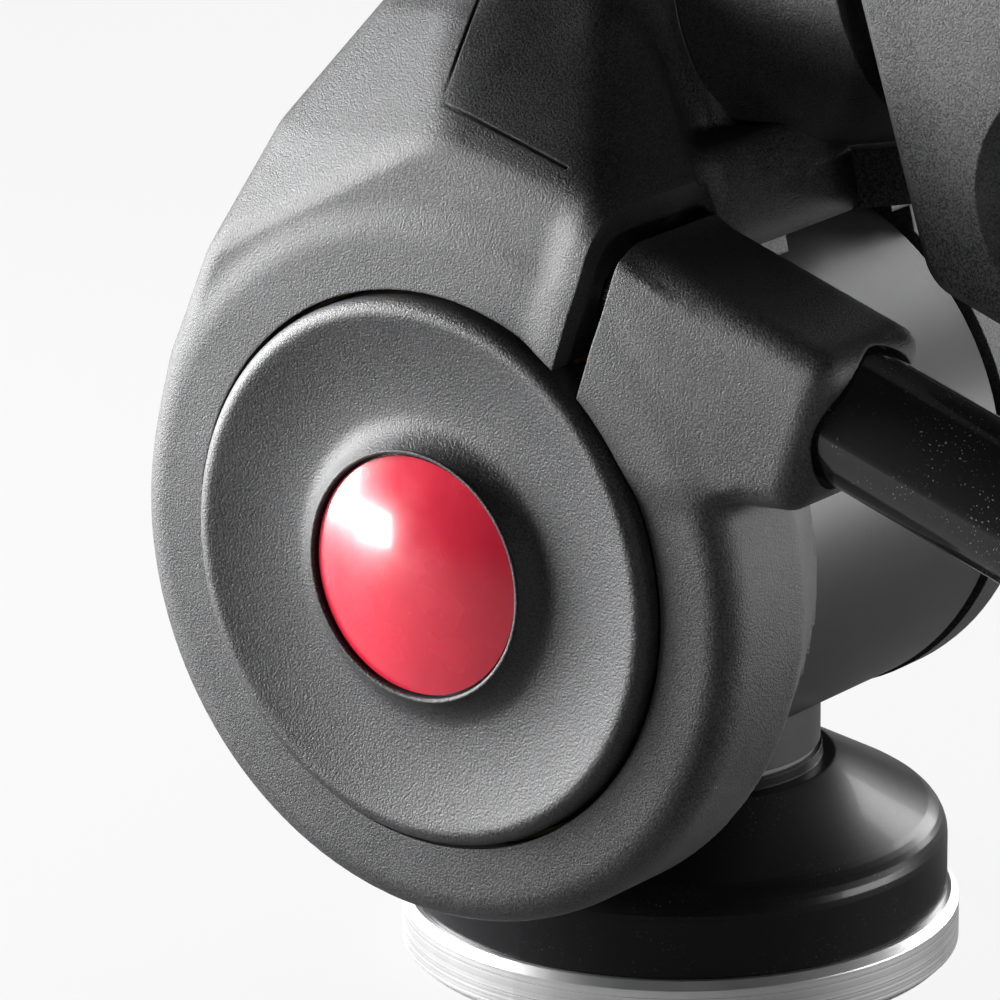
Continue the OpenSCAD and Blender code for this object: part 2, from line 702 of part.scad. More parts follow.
module front_housing() {
    slit_over = 8;
    cradle_top = link_z1 + 0.6;
    cradle_x1 = jaw_rear_x - cut;
    cradle = [[split_x, cradle_under + cradle_rise], [cradle_x1, cradle_under], [cradle_x1, cradle_top],
              [split_x, cradle_top]];
    color("#4a4a4c") difference() {
        union() {
            difference() {
                union() {
                    tilt_axis() turned_x() ring_profile();
                    level_frame() arm();
                    lever_frame() lower_jaw();
                }
                lever_frame()
                    block([ring_rear_x - cut, slit_u, 0], [ring_face_x + cut, boss_u0, jaw_top + slit_over]);
            }
            tower(split_x, arm_head_x);
            level_frame() translate([0, cradle_y1, 0]) rotate([90, 0, 0])
                linear_extrude(cradle_y1) polygon(cradle);
        }
        tilt_axis() ring_bore();
        tilt_axis() rod_x(tower_clear_r, 0, ring_rear_x);
        tilt_lever_seat() {
            rod_z(lever_r + lever_gap, 0, lever_recess + cut);
            rod_z(stud_r + pass_gap, clamp_nut_at, cut);
            rod_z(clamp_nut_r + seat_gap, clamp_nut_at, clamp_nut_at + clamp_nut_len);
        }
        tower_bores();
    }
}

module rear_housing() {
    edge = 2.2;
    color("#4a4a4c") difference() {
        union() {
            tilt_axis() turned_x() polygon(rounded([
                [[0, rear_x], 0], [[rear_disc_r, rear_x], edge], [[rear_disc_r, wall_x1 + cut], 0],
                [[0, wall_x1 + cut], 0]]));
            tower(rear_x + 1, split_x - seat_gap);
        }
        tilt_axis() {
            rod_x(tower_clear_r, wall_x1, ring_face_x);
            rod_x(rear_cover_r + seat_gap, rear_x - cut, wall_x0);
            rod_x(pivot_r + run_gap, wall_x0 - cut, wall_x1 + cut);
        }
        tower_bores();
        housing_screw_places() rod_x(small_screw[1] + pass_gap, rear_x - cut, screw_head_x);
        level_frame() block([link_x0 - 3, link_y0 - pass_gap, 0], [split_x + cut, cradle_y1, link_z1 + 1]);
    }
}

module clamp_liner() {
    inner = drum_r + run_gap;
    color("peru") difference() {
        tilt_axis() turned_x() polygon([
            [inner, ring_rear_x], [inner + liner_t, ring_rear_x],
            [inner + liner_t, liner_x1], [inner, liner_x1]]);
        lever_frame() block([ring_rear_x - cut, slit_u, 0], [ring_face_x, boss_u0, ring_top_r]);
    }
}

module clamp_nut() {
    color("silver") tilt_lever_seat() difference() {
        rod_z(clamp_nut_r, clamp_nut_at, clamp_nut_at + clamp_nut_len);
        rod_z(stud_r + run_gap, clamp_nut_at - cut, clamp_nut_at + clamp_nut_len + cut);
    }
}

module thrust_washer() {
    color("#e8e4d8") tilt_axis() difference() {
        rod_x(drum_r - 5, washer_x, washer_x + thrust_t);
        rod_x(pivot_r + pass_gap, washer_x - cut, washer_x + thrust_t + cut);
    }
}

module rear_cover() {
    rim = 2.5;
    inner = rear_x + rear_cover_t;
    color("#3a3a3c") tilt_axis() turned_x() polygon(rounded([
        [[0, rear_x], 0], [[rear_cover_r, rear_x], 0.4], [[rear_cover_r, wall_x0 - seat_gap], 0],
        [[rear_cover_r - rim, wall_x0 - seat_gap], 0], [[rear_cover_r - rim, inner], 0], [[0, inner], 0]]));
}

module socket_screw(head_x) {
    head_t = 2.6;
    rod_x(small_screw[0], head_x - head_t / 2, screw_end_x);
    difference() {
        rod_x(small_screw[1], head_x - head_t, head_x);
        translate([head_x - head_t - cut, 0, 0]) rotate([0, 90, 0]) cylinder(r = 1.7, h = cut + 1.2, $fn = 6);
    }
}
module housing_screws() {
    color("#303033") {
        housing_screw_places() socket_screw(screw_head_x);
        link_screw_places() socket_screw(link_x0);
    }
}

// Side tilt: washer, bush and split clamp on the tilt housing, barrel and shaft that turn in them
module barrel_washer() {
    color("#8a8a8c") barrel_frame() difference() {
        rod_y(barrel_r + pass_gap / 2, flange_y1 + seat_gap, flange_y1 + seat_gap + barrel_washer_t);
        rod_y(shaft_r + pass_gap, flange_y1 - cut, barrel_y0 + cut);
    }
}

module shaft_bush() {
    color("#2b2b2b") barrel_frame() difference() {
        rod_y(liner_r, nut_pocket_y, flange_y1);
        rod_y(shaft_r + run_gap, nut_pocket_y - cut, flange_y1 + cut);
    }
}

// Slice of the side-tilt clamp: a straight front, a corner that leans into the bolt's lobe, a straight rear
module clamp_slice(x, inset) {
    lobe = [bolt_y, bolt_rise];
    foot = lobe - (lobe_r - inset) * [sin(lobe_lean), cos(lobe_lean)];
    front = clamp_corner_y + inset;
    top = barrel_rise + sqrt(clamp_top_r * clamp_top_r - clamp_half_w * clamp_half_w) - inset;
    translate([x - slice_t / 2, 0, 0]) rotate([90, 0, 90]) linear_extrude(slice_t) {
        translate(lobe) circle(r = lobe_r - inset);
        polygon(rounded([
            [[clamp_y0 + inset, top], 0], [[clamp_y0 + inset, barrel_rise], 0],
            [[front, foot.y + (foot.x - front) * tan(lobe_lean)], 5],
            [foot, 0], [[clamp_y1 - inset, bolt_rise], 0], [[clamp_y1 - inset, top], 0]]));
    }
}

module side_clamp() {
    flat = clamp_half_w - clamp_round;
    nut_floor = clamp_half_w - nut_recess - side_nut_seat;
    tongue_y = clamp_y0 - 4;
    color("#6c6c6e") difference() {
        union() {
            level_frame() hull($fn = 48) for (s = [-1, 1]) {
                clamp_slice(s * (clamp_half_w - slice_t / 2), clamp_round);
                clamp_slice(s * flat, 0);
            }
            barrel_frame() intersection() {
                rod_y(clamp_top_r, clamp_y0, clamp_y1);
                block([1 - flat, clamp_y0, 0], [flat - 1, clamp_y1, clamp_top_r]);
            }
            level_frame() {
                block([link_x0, link_y0, link_z0], [split_x - seat_gap, tongue_y, link_z1]);
                block([link_x0, tongue_y - cut, link_z0], [-clamp_slit, clamp_y0 + 4, link_z1]);
            }
        }
        barrel_frame() rod_y(liner_r + seat_gap, clamp_y0 - cut, clamp_y1 + cut);
        level_frame()
            block([-clamp_slit / 2, clamp_y0 - cut, 0], [clamp_slit / 2, clamp_y1 + cut, barrel_rise]);
        side_lever_seat() {
            rod_z(lever_r + lever_gap, 0, lever_recess + cut);
            rod_z(stud_r + pass_gap, lever_recess - 2 * clamp_half_w, cut);
        }
        level_frame() translate([0, bolt_y, bolt_rise]) {
            rod_x(nut_recess_r, clamp_half_w - nut_recess, clamp_half_w + cut);
            rotate([0, 90, 0]) rotate(30) translate([0, 0, nut_floor])
                cylinder(r = side_nut_r + seat_gap, h = nut_recess + side_nut_seat, $fn = 6);
        }
        link_screw_places() rod_x(small_screw[0] + seat_gap, link_x0 - cut, split_x + cut);
    }
}

module side_liner() {
    color("peru") barrel_frame() difference() {
        rod_y(liner_r, clamp_y0, clamp_y1);
        rod_y(shaft_r + run_gap, clamp_y0 - cut, clamp_y1 + cut);
        block([-clamp_slit / 2, clamp_y0 - cut, -barrel_r], [clamp_slit / 2, clamp_y1 + cut, 0]);
    }
}

module side_nut() {
    floor_x = clamp_half_w - nut_recess - side_nut_seat + seat_gap;
    color("silver") level_frame() translate([0, bolt_y, bolt_rise]) difference() {
        rotate([0, 90, 0]) rotate(30) translate([0, 0, floor_x])
            cylinder(r = side_nut_r, h = side_nut_t, $fn = 6);
        rod_x(stud_r + run_gap, floor_x - cut, floor_x + side_nut_t + cut);
    }
}

module side_barrel() {
    color("#2e2e30") barrel_frame() difference() {
        rod_y(barrel_r, barrel_y0, barrel_y1);
        rod_y(shaft_r + seat_gap, barrel_y0 - cut, barrel_y1 + cut);
        difference() {
            block([-barrel_r - cut, barrel_groove_y, -barrel_r - cut], [barrel_r + cut, barrel_y1 + cut, 0]);
            rod_y(barrel_r - barrel_groove, barrel_groove_y - cut, barrel_y1 + 2 * cut);
        }
        for (y = post_screws) translate([0, y, 0]) rod_z(post_screw_r + seat_gap, shaft_r, barrel_r + cut);
    }
}

module side_shaft() {
    neck = shaft_r - 2;
    color("silver") barrel_frame() {
        rod_y(neck, shaft_y0, shaft_y0 + shaft_nut_t + cut);
        rod_y(shaft_r, shaft_y0 + shaft_nut_t, clamp_y1 + shaft_end);
    }
}

module shaft_nut() {
    color("#5a5a5c") barrel_frame() difference() {
        translate([0, shaft_y0, 0]) rotate([-90, 0, 0])
            cylinder(r = shaft_nut_r, h = shaft_nut_t - seat_gap, $fn = 6);
        rod_y(shaft_r - 2 + seat_gap, shaft_y0 - cut, nut_pocket_y + cut);
    }
}

// Levers: tube on a stud, rubber grip with ring grooves, end cap
module lever_tube() {
    root = lever_r - 0.8;
    color("#141416") rotate_extrude() polygon([
        [stud_r + seat_gap, run_gap], [root, run_gap], [lever_r, 0.8 + run_gap], [lever_r, lever_len],
        [lever_bore_r, lever_len], [lever_bore_r, stud_seat + 2], [0, stud_seat + 2], [0, stud_seat],
        [stud_r + seat_gap, stud_seat]]);
}
module lever_grip() {
    inner = lever_r + seat_gap;
    z0 = lever_len - grip_len;
    pitch = grip_len / (grip_grooves + 1);
    color("#242424") rotate_extrude() difference() {
        polygon(rounded([
            [[inner, z0], 0], [[grip_r, z0], grip_round], [[grip_r, lever_len], grip_round],
            [[inner, lever_len], 0]]));
        for (i = [1:grip_grooves])
            translate([grip_r + groove_depth, z0 + i * pitch]) circle(r = 2 * groove_depth);
    }
}
module lever_cap() {
    plug = 8;
    rim = grip_r - 0.5;
    color("#141416") rotate_extrude() polygon(rounded([
        [[0, lever_len - plug], 0], [[lever_bore_r - seat_gap, lever_len - plug], 0.6],
        [[lever_bore_r - seat_gap, lever_len + seat_gap], 0], [[rim, lever_len + seat_gap], 0],
        [[rim, lever_len + end_cap_t], 2 / 3 * end_cap_t], [[0, lever_len + end_cap_t], 0]]));
}

module tilt_lever_tube() { tilt_lever_seat() lever_tube(); }
module tilt_lever_grip() { tilt_lever_seat() lever_grip(); }
module tilt_lever_cap() { tilt_lever_seat() lever_cap(); }
module tilt_lever_stud() {
    color("silver") tilt_lever_seat() rod_z(stud_r, clamp_nut_at + cut, stud_seat - seat_gap);
}
module side_lever_tube() { side_lever_seat() lever_tube(); }
module side_lever_grip() { side_lever_seat() lever_grip(); }
module side_lever_cap() { side_lever_seat() lever_cap(); }
module side_lever_stud() {
    tip = lever_recess - 2 * clamp_half_w + nut_recess + side_nut_seat - side_nut_t;
    color("silver") side_lever_seat() rod_z(stud_r, tip, stud_seat - seat_gap);
}

// Platform: dovetail clamp on a post, with its bubble level and release lever
module plan(x, y0, y1, r, z, h) {
    translate([0, 0, z]) linear_extrude(h)
        polygon(rounded([[[-x, y0], r], [[x, y0], r], [[x, y1], r], [[-x, y1], r]]));
}
// Dovetail bar along Y with its foot half width and its slope narrowed by gap
module dovetail(y0, y1, z0, z1, gap) {
    slope = dovetail_lean / rail_h;
    foot = dovetail_half_w - gap - slope * (z0 - groove_z);
    head = dovetail_half_w - gap - slope * (z1 - groove_z);
    translate([0, y1, 0]) rotate([90, 0, 0]) linear_extrude(y1 - y0)
        polygon([[-foot, z0], [foot, z0], [head, z1], [-head, z1]]);
}

module platform() {
    swing_room = 6;
    hub_room = 1.2;
    color("#3c3c3e") level_frame() difference() {
        union() {
            plan(platform_half_w, platform_y0, platform_y1, platform_round, platform_z, rail_z - platform_z);
            block([-post_half_w, post_y0, barrel_rise], [post_half_w, post_y1, platform_z + cut]);
        }
        translate([0, 0, barrel_rise]) rod_y(barrel_r + seat_gap, post_y0 - cut, post_y1 + cut);
        dovetail(platform_y0 - cut, plate_y0 + plate_len + pass_gap, groove_z, rail_z + cut, 0);
        translate([0, level_y, 0]) rod_z(level_r + seat_gap, rail_z - level_h, rail_z + cut);
        for (y = post_screws) translate([0, y, 0]) {
            rod_z(post_screw_r + seat_gap, barrel_rise, groove_z + cut);
            rod_z(post_screw_head_r + seat_gap, groove_z - post_screw_head_t, groove_z + cut);
        }
        translate([release_x, release_y, 0]) {
            rod_z(release_pin_r + seat_gap, release_pin_z, rail_z + cut);
            translate([0, 0, release_z - pass_gap]) linear_extrude(release_t + 2 * pass_gap) {
                circle(r = release_hub_r + pass_gap);
                translate([0, -release_hub_r - swing_room])
                    square([platform_half_w, 2 * release_hub_r + swing_room + hub_room]);
            }
        }
    }
}

module platform_screws() {
    color("#303033") level_frame() for (y = post_screws) translate([0, y, 0]) difference() {
        union() {
            rod_z(post_screw_r, barrel_rise + shaft_r + seat_gap + 1, groove_z - post_screw_head_t);
            rod_z(post_screw_head_r, groove_z - post_screw_head_t, groove_z - seat_gap);
        }
        translate([0, 0, groove_z - 1.8]) cylinder(r = 2.3, h = 1.8 + cut, $fn = 6);
    }
}

module level_cup() {
    wall = 1;
    color("#1c1c1e") level_frame() translate([0, level_y, rail_z - level_h]) rotate_extrude() polygon([
        [0, seat_gap], [level_r, seat_gap], [level_r, level_h], [level_r - wall, level_h],
        [level_r - wall, wall], [0, wall]]);
}

module level_vial() {
    r = level_r - 1 - seat_gap;
    crown = 0.8;
    ball_r = (r * r + crown * crown) / (2 * crown);
    color("yellowgreen") level_frame() translate([0, level_y, rail_z]) intersection() {
        rod_z(r, 1 + seat_gap - level_h, cut);
        translate([0, 0, crown - ball_r - crown]) sphere(r = ball_r, $fn = 240);
    }
}

module release_pivot() {
    color("silver") level_frame() translate([release_x, release_y, 0])
        rod_z(release_pin_r, release_pin_z, rail_z);
}

module release_lever() {
    near = platform_half_w - release_x + pass_gap;
    far = near + release_w;
    root = -release_hub_r - 3;
    color("#1d1d1f") level_frame() translate([release_x, release_y, release_z]) difference() {
        union() {
            rod_z(release_hub_r, 0, release_t);
            linear_extrude(release_t) polygon(rounded([
                [[0, release_hub_r * 0.9], 0], [[near + 1.4, 0], 0], [[far, root], 0],
                [[far, -release_len], 1.5], [[near + 0.4, -release_len], 1], [[near, root], 0],
                [[0, -release_hub_r * 0.9], 0]]));
        }
        rod_z(release_pin_r + run_gap, -cut, release_t + cut);
    }
}

// Quick-release plate with its pad and the camera screw
module quick_plate() {
    edge = 0.8;
    y1 = plate_y0 + plate_len;
    color("#2a2a2c") level_frame() difference() {
        union() {
            dovetail(plate_y0, y1, plate_foot_z, rail_z, pass_gap);
            dovetail(plate_y0, y1, rail_z - 0.01, plate_z + edge, pass_gap);
            plan(plate_half_w - edge, plate_y0 + edge, y1 - edge, 3, plate_z, plate_t);
            plan(plate_half_w, plate_y0, y1, 3, plate_z + edge, plate_t - 2 * edge);
        }
        translate([0, plate_mid_y, 0]) {
            rod_z(camera_screw_r + run_gap, plate_foot_z - cut, pad_z + cut);
            rod_z(camera_head_r + 1, plate_foot_z - cut, camera_head_z + camera_head_t);
        }
    }
}

module plate_pad() {
    inset = 2;
    ribs = 8;
    rib_w = 1.4;
    pitch = (plate_len - 2 * inset) / ribs;
    color("#1a1a1a") level_frame() difference() {
        plan(plate_half_w - inset, plate_y0 + inset, plate_y0 + plate_len - inset, 2, pad_z, pad_t);
        translate([0, plate_mid_y, 0]) rod_z(camera_screw_r + 2, pad_z - cut, pad_z + pad_t + cut);
        for (i = [1:ribs - 1]) translate([0, plate_y0 + inset + i * pitch, 0])
            block([-plate_half_w, -rib_w / 2, pad_z + pad_t / 2],
                  [plate_half_w, rib_w / 2, pad_z + pad_t + cut]);
    }
}

module camera_screw() {
    slot_w = 1.6;
    color("silver") level_frame() translate([0, plate_mid_y, 0]) difference() {
        union() {
            rod_z(camera_head_r, camera_head_z, camera_head_z + camera_head_t - run_gap);
            rod_z(camera_screw_r - 0.5, camera_head_z, pad_z + cut);
            rod_z(camera_screw_r, pad_z, pad_z + pad_t + camera_screw_len);
        }
        block([-camera_head_r - cut, -slot_w / 2, camera_head_z - cut],
              [camera_head_r + cut, slot_w / 2, camera_head_z + 1.6]);
    }
}

base_disc();
thread_bush();
base_housing();
base_screws();
pan_bush();
brake_shoe();
pan_knob();
pan_stud();
pan_spindle();
tilt_drum();
cover_disc();
red_cap();
pivot_bolt();
front_housing();
rear_housing();
clamp_liner();
clamp_nut();
thrust_washer();
rear_cover();
housing_screws();
barrel_washer();
shaft_bush();
side_clamp();
side_liner();
side_nut();
tilt_lever_tube();
tilt_lever_stud();
tilt_lever_grip();
tilt_lever_cap();
side_barrel();
side_shaft();
shaft_nut();
platform();
platform_screws();
level_cup();
level_vial();
release_pivot();
side_lever_tube();
side_lever_stud();
side_lever_grip();
side_lever_cap();
release_lever();
quick_plate();
plate_pad();
camera_screw();
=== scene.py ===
"""Looks of a three-way pan tilt head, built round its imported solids.

Each sub-assembly is a class that holds its sizes in millimetres and dresses its own pieces. The moulded
clamp housing is a blended form, worked out from a distance field and then cut for the drum, the lever and
the side tilt.
"""

import json
import logging
import math
from collections.abc import Callable, Sequence
from dataclasses import dataclass
from enum import Enum

import bmesh
import bpy
import numpy as np
from mathutils import Matrix, Vector

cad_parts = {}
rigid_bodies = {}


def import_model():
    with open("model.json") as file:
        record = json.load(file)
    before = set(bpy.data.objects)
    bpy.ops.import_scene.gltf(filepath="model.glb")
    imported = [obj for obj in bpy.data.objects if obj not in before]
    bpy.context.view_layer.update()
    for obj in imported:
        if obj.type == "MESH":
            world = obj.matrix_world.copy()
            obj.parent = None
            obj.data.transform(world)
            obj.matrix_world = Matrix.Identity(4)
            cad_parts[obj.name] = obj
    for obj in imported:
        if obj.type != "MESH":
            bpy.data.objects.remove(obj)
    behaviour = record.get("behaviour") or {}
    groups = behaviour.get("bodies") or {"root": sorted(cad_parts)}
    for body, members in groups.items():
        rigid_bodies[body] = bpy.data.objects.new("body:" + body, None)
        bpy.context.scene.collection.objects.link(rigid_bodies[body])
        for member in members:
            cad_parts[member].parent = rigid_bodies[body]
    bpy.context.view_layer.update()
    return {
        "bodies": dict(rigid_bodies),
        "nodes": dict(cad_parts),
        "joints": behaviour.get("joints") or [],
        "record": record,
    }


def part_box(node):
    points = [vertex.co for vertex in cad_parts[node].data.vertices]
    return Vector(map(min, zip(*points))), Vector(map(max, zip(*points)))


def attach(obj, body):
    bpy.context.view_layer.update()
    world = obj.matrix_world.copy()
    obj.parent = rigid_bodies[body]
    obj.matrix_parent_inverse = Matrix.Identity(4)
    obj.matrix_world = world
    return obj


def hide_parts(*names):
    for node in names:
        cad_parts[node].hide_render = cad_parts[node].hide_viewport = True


LOG = logging.getLogger("pan_tilt_head")
MM = 0.001

Colour = tuple[float, float, float]
Field = Callable[[np.ndarray], np.ndarray]
Piece = bpy.types.Object
Socket = bpy.types.NodeSocket


class Axis(Enum):
    """Axis that a turned piece is centred on: its direction, and a point on it in millimetres."""

    PAN = ((0.0, 0.0, 1.0), (0.0, 0.0, 0.0))
    TILT = ((1.0, 0.0, 0.0), (0.0, 0.0, 53.0))
    PLATE = ((0.0, -0.22495, 0.97437), (0.0, 23.385, 58.3988))

    @property
    def direction(self) -> Vector:
        """Unit vector along the axis."""
        return Vector(self.value[0]).normalized()

    @property
    def point(self) -> Vector:
        """Point on the axis, in metres."""
        return Vector(self.value[1]) * MM


class NodeSheet:
    """Node tree of one material, filled node by node."""

    def __init__(self, name: str) -> None:
        """Start an empty tree for a material of this name."""
        self.material = bpy.data.materials.new(name)
        self.material.use_nodes = True
        self.tree = self.material.node_tree
        self.tree.nodes.clear()

    def add(self, kind: str, inputs: dict | None = None, **settings) -> bpy.types.Node:
        """Add one node.

        Args:
            kind: Blender's name of the node type.
            inputs: Values or sockets for the node's inputs, by name or place.
            **settings: Attributes of the node.

        Returns:
            The new node.
        """
        node = self.tree.nodes.new(kind)
        for key, value in settings.items():
            setattr(node, key, value)
        for key, value in (inputs or {}).items():
            if isinstance(value, Socket):
                self.tree.links.new(value, node.inputs[key])
            else:
                node.inputs[key].default_value = value
        return node

    def place(self) -> Socket:
        """Position on the piece, in its own frame."""
        return self.add("ShaderNodeTexCoord").outputs["Object"]

    def noise(self, at: Socket, size: float, detail: float = 2.0) -> Socket:
        """Noise from 0 to 1, with features of a size in millimetres and a number of finer octaves."""
        inputs = {"Vector": at, "Scale": 1 / (size * MM), "Detail": detail, "Roughness": 0.55}
        return self.add("ShaderNodeTexNoise", inputs).outputs[0]

    def math(self, operation: str, *values: float | Socket) -> Socket:
        """One arithmetic step on numbers or sockets, by Blender's name of the operation."""
        return self.add("ShaderNodeMath", dict(enumerate(values)), operation=operation).outputs[0]

    def vector(self, operation: str, *values: Vector | Socket) -> bpy.types.Node:
        """One step of vector arithmetic, as a node with its outputs."""
        return self.add("ShaderNodeVectorMath", dict(enumerate(values)), operation=operation)

    def span(self, value: Socket, low: float, high: float, start: float = 0.3,
             end: float = 0.7) -> Socket:
        """Map a socket from start and end to low and high.

        Args:
            value: Socket to map.
            low: Result at start.
            high: Result at end.
            start: Lower value of the socket.
            end: Higher value of the socket.

        Returns:
            Socket with the mapped value.
        """
        inputs = {"Value": value, "From Min": start, "From Max": end, "To Min": low, "To Max": high}
        return self.add("ShaderNodeMapRange", inputs).outputs[0]

    def ramp(self, value: Socket,
             stops: Sequence[tuple[float, Colour]]) -> Socket:
        """Colour from a value.

        Args:
            value: Socket that picks the colour.
            stops: Places and colours, in rising order.

        Returns:
            Socket with the colour.
        """
        node = self.add("ShaderNodeValToRGB", {"Fac": value})
        for element, (at, colour) in zip(node.color_ramp.elements, (stops[0], stops[-1])):
            element.position = at
            element.color = (*colour, 1)
        for at, colour in stops[1:-1]:
            node.color_ramp.elements.new(at).color = (*colour, 1)
        return node.outputs["Color"]

    def bump(self, height: Socket, depth: float, strength: float = 1.0,
             edge: float = 0.0) -> Socket:
        """Normal of a surface with fine relief and softened edges.

        Args:
            height: Socket with the relief, from 0 to 1.
            depth: Depth of the relief, in millimetres.
            strength: Strength of the relief.
            edge: Radius that edges are softened by, in millimetres.

        Returns:
            Socket with the normal.
        """
        inputs = {"Height": height, "Distance": depth * MM, "Strength": strength}
        if edge:
            inputs["Normal"] = self.add("ShaderNodeBevel", {"Radius": edge * MM}, samples=4).outputs[0]
        return self.add("ShaderNodeBump", inputs).outputs[0]

    def lathe_lines(self, axis: Axis, pitch: float) -> Socket:
        """Fine lines left by turning, round a side and in rings on an end face.

        Args:
            axis: Axis that the piece was turned on.
            pitch: Width of a line, in millimetres.

        Returns:
            Socket with the lines, from 0 to 1.
        """
        offset = self.vector("SUBTRACT", self.place(), axis.point).outputs[0]
        along = self.vector("DOT_PRODUCT", offset, axis.direction).outputs["Value"]
        across = self.vector("CROSS_PRODUCT", offset, axis.direction).outputs[0]
        radius = self.vector("LENGTH", across).outputs["Value"]
        total = self.math("ADD", along, radius)
        return self.noise(self.add("ShaderNodeCombineXYZ", {"X": total}).outputs[0], pitch, detail=3.0)

    def finish(self, inputs: dict) -> bpy.types.Material:
        """Close the tree with one surface shader that has these inputs, and return the material."""
        shader = self.add("ShaderNodeBsdfPrincipled", inputs)
        self.add("ShaderNodeOutputMaterial", {"Surface": shader.outputs[0]})
        return self.material


def shade(colour: Colour, factor: float) -> Colour:
    """Colour made lighter or darker by a factor."""
    return tuple(min(c * factor, 1.0) for c in colour)


@dataclass(frozen=True)
class GrainedPlastic:
    """Moulded plastic with the fine grain of a spark-eroded mould."""

    name: str
    colour: Colour
    roughness: float = 0.5
    grain: float = 0.22
    depth: float = 0.12
    speckle: float = 0.8
    edge: float = 0.3

    def make(self) -> bpy.types.Material:
        """Build the material."""
        sheet = NodeSheet(self.name)
        at = sheet.place()
        grain = sheet.noise(at, self.grain, detail=4.0)
        cloud = sheet.noise(at, size=11.0, detail=3.0)
        tone = sheet.math("MULTIPLY_ADD", cloud, 0.2, sheet.math("MULTIPLY", grain, 0.8))
        stops = [(0.4, shade(self.colour, 1 - self.speckle)), (0.6, shade(self.colour, 1 + self.speckle))]
        return sheet.finish({
            "Base Color": sheet.ramp(tone, stops),
            "Roughness": sheet.span(grain, self.roughness - 0.08, self.roughness + 0.1),
            "Normal": sheet.bump(grain, self.depth, edge=self.edge),
            "Specular IOR Level": 0.5,
        })


@dataclass(frozen=True)
class GlossEnamel:
    """Black stoved enamel with a slight orange peel and a little dust."""

    name: str
    colour: Colour
    roughness: float = 0.16
    coat: float = 0.6
    dust: float = 0.35
    specular: float = 0.5

    def make(self) -> bpy.types.Material:
        """Build the material."""
        sheet = NodeSheet(self.name)
        at = sheet.place()
        peel = sheet.noise(at, size=1.4, detail=1.0)
        speck = sheet.noise(at, size=0.22, detail=0.0)
        specks = sheet.span(speck, low=0.0, high=self.dust, start=0.74, end=0.8)
        cloud = sheet.noise(at, size=7.0)
        drift = sheet.span(cloud, low=0.0, high=1.0, start=0.45, end=0.62)
        dust = sheet.math("MULTIPLY", specks, drift)
        return sheet.finish({
            "Base Color": sheet.ramp(dust, [(0.0, self.colour), (1.0, (0.5, 0.5, 0.5))]),
            "Roughness": sheet.math("ADD", dust, self.roughness),
            "Specular IOR Level": self.specular,
            "Coat Weight": self.coat,
            "Coat Roughness": 0.08,
            "Normal": sheet.bump(peel, depth=0.012, strength=0.6, edge=0.25),
        })


@dataclass(frozen=True)
class TurnedMetal:
    """Metal off the lathe, with fine lines round its axis."""

    name: str
    colour: Colour
    axis: Axis
    roughness: float = 0.28
    pitch: float = 0.12
    depth: float = 0.01
    metallic: float = 1.0

    def make(self) -> bpy.types.Material:
        """Build the material."""
        sheet = NodeSheet(self.name)
        lines = sheet.lathe_lines(self.axis, self.pitch)
        haze = sheet.noise(sheet.place(), size=6.0, detail=3.0)
        tone = sheet.math("MULTIPLY_ADD", haze, 0.35, sheet.math("MULTIPLY", lines, 0.65))
        stops = [(0.3, shade(self.colour, 0.82)), (0.7, shade(self.colour, 1.14))]
        return sheet.finish({
            "Base Color": sheet.ramp(tone, stops),
            "Metallic": self.metallic,
            "Roughness": sheet.span(lines, self.roughness - 0.06, self.roughness + 0.09),
            "Normal": sheet.bump(lines, self.depth, edge=0.2),
        })


@dataclass(frozen=True)
class RubberSkin:
    """Matt rubber with fine pores and a dusty bloom."""

    name: str
    colour: Colour
    roughness: float = 0.72

    def make(self) -> bpy.types.Material:
        """Build the material."""
        sheet = NodeSheet(self.name)
        at = sheet.place()
        pores = sheet.noise(at, size=0.3, detail=3.0)
        bloom = sheet.noise(at, size=9.0, detail=4.0)
        return sheet.finish({
            "Base Color": sheet.ramp(bloom, [(0.35, self.colour), (0.75, shade(self.colour, 1.7))]),
            "Roughness": sheet.span(bloom, self.roughness, self.roughness + 0.15),
            "Sheen Weight": 0.12,
            "Normal": sheet.bump(pores, depth=0.04, strength=0.8, edge=0.3),
        })


@dataclass(frozen=True)
class DomedResin:
    """Poured resin over a red ground: deep colour under a clear glossy skin."""

    name: str
    colour: Colour

    def make(self) -> bpy.types.Material:
        """Build the material."""
        sheet = NodeSheet(self.name)
        at = sheet.place()
        depth = sheet.noise(at, size=5.0)
        wave = sheet.noise(at, size=3.0, detail=0.0)
        stops = [(0.3, shade(self.colour, 0.93)), (0.7, shade(self.colour, 1.05))]
        return sheet.finish({
            "Base Color": sheet.ramp(depth, stops),
            "Roughness": sheet.span(depth, low=0.22, high=0.3),
            "Coat Weight": 1.0,
            "Coat Roughness": 0.1,
            "Normal": sheet.bump(wave, depth=0.01, strength=0.5),
        })


@dataclass(frozen=True)
class SmoothPlastic:
    """Plain turned or moulded plastic, with faint tool marks."""

    name: str
    colour: Colour
    roughness: float = 0.38

    def make(self) -> bpy.types.Material:
        """Build the material."""
        sheet = NodeSheet(self.name)
        at = sheet.place()
        marks = sheet.noise(at, size=0.8, detail=4.0)
        cloud = sheet.noise(at, size=6.0)
        stops = [(0.3, shade(self.colour, 0.88)), (0.7, shade(self.colour, 1.12))]
        return sheet.finish({
            "Base Color": sheet.ramp(cloud, stops),
            "Roughness": sheet.span(marks, self.roughness - 0.06, self.roughness + 0.1),
            "Normal": sheet.bump(marks, depth=0.012, strength=0.8, edge=0.25),
        })


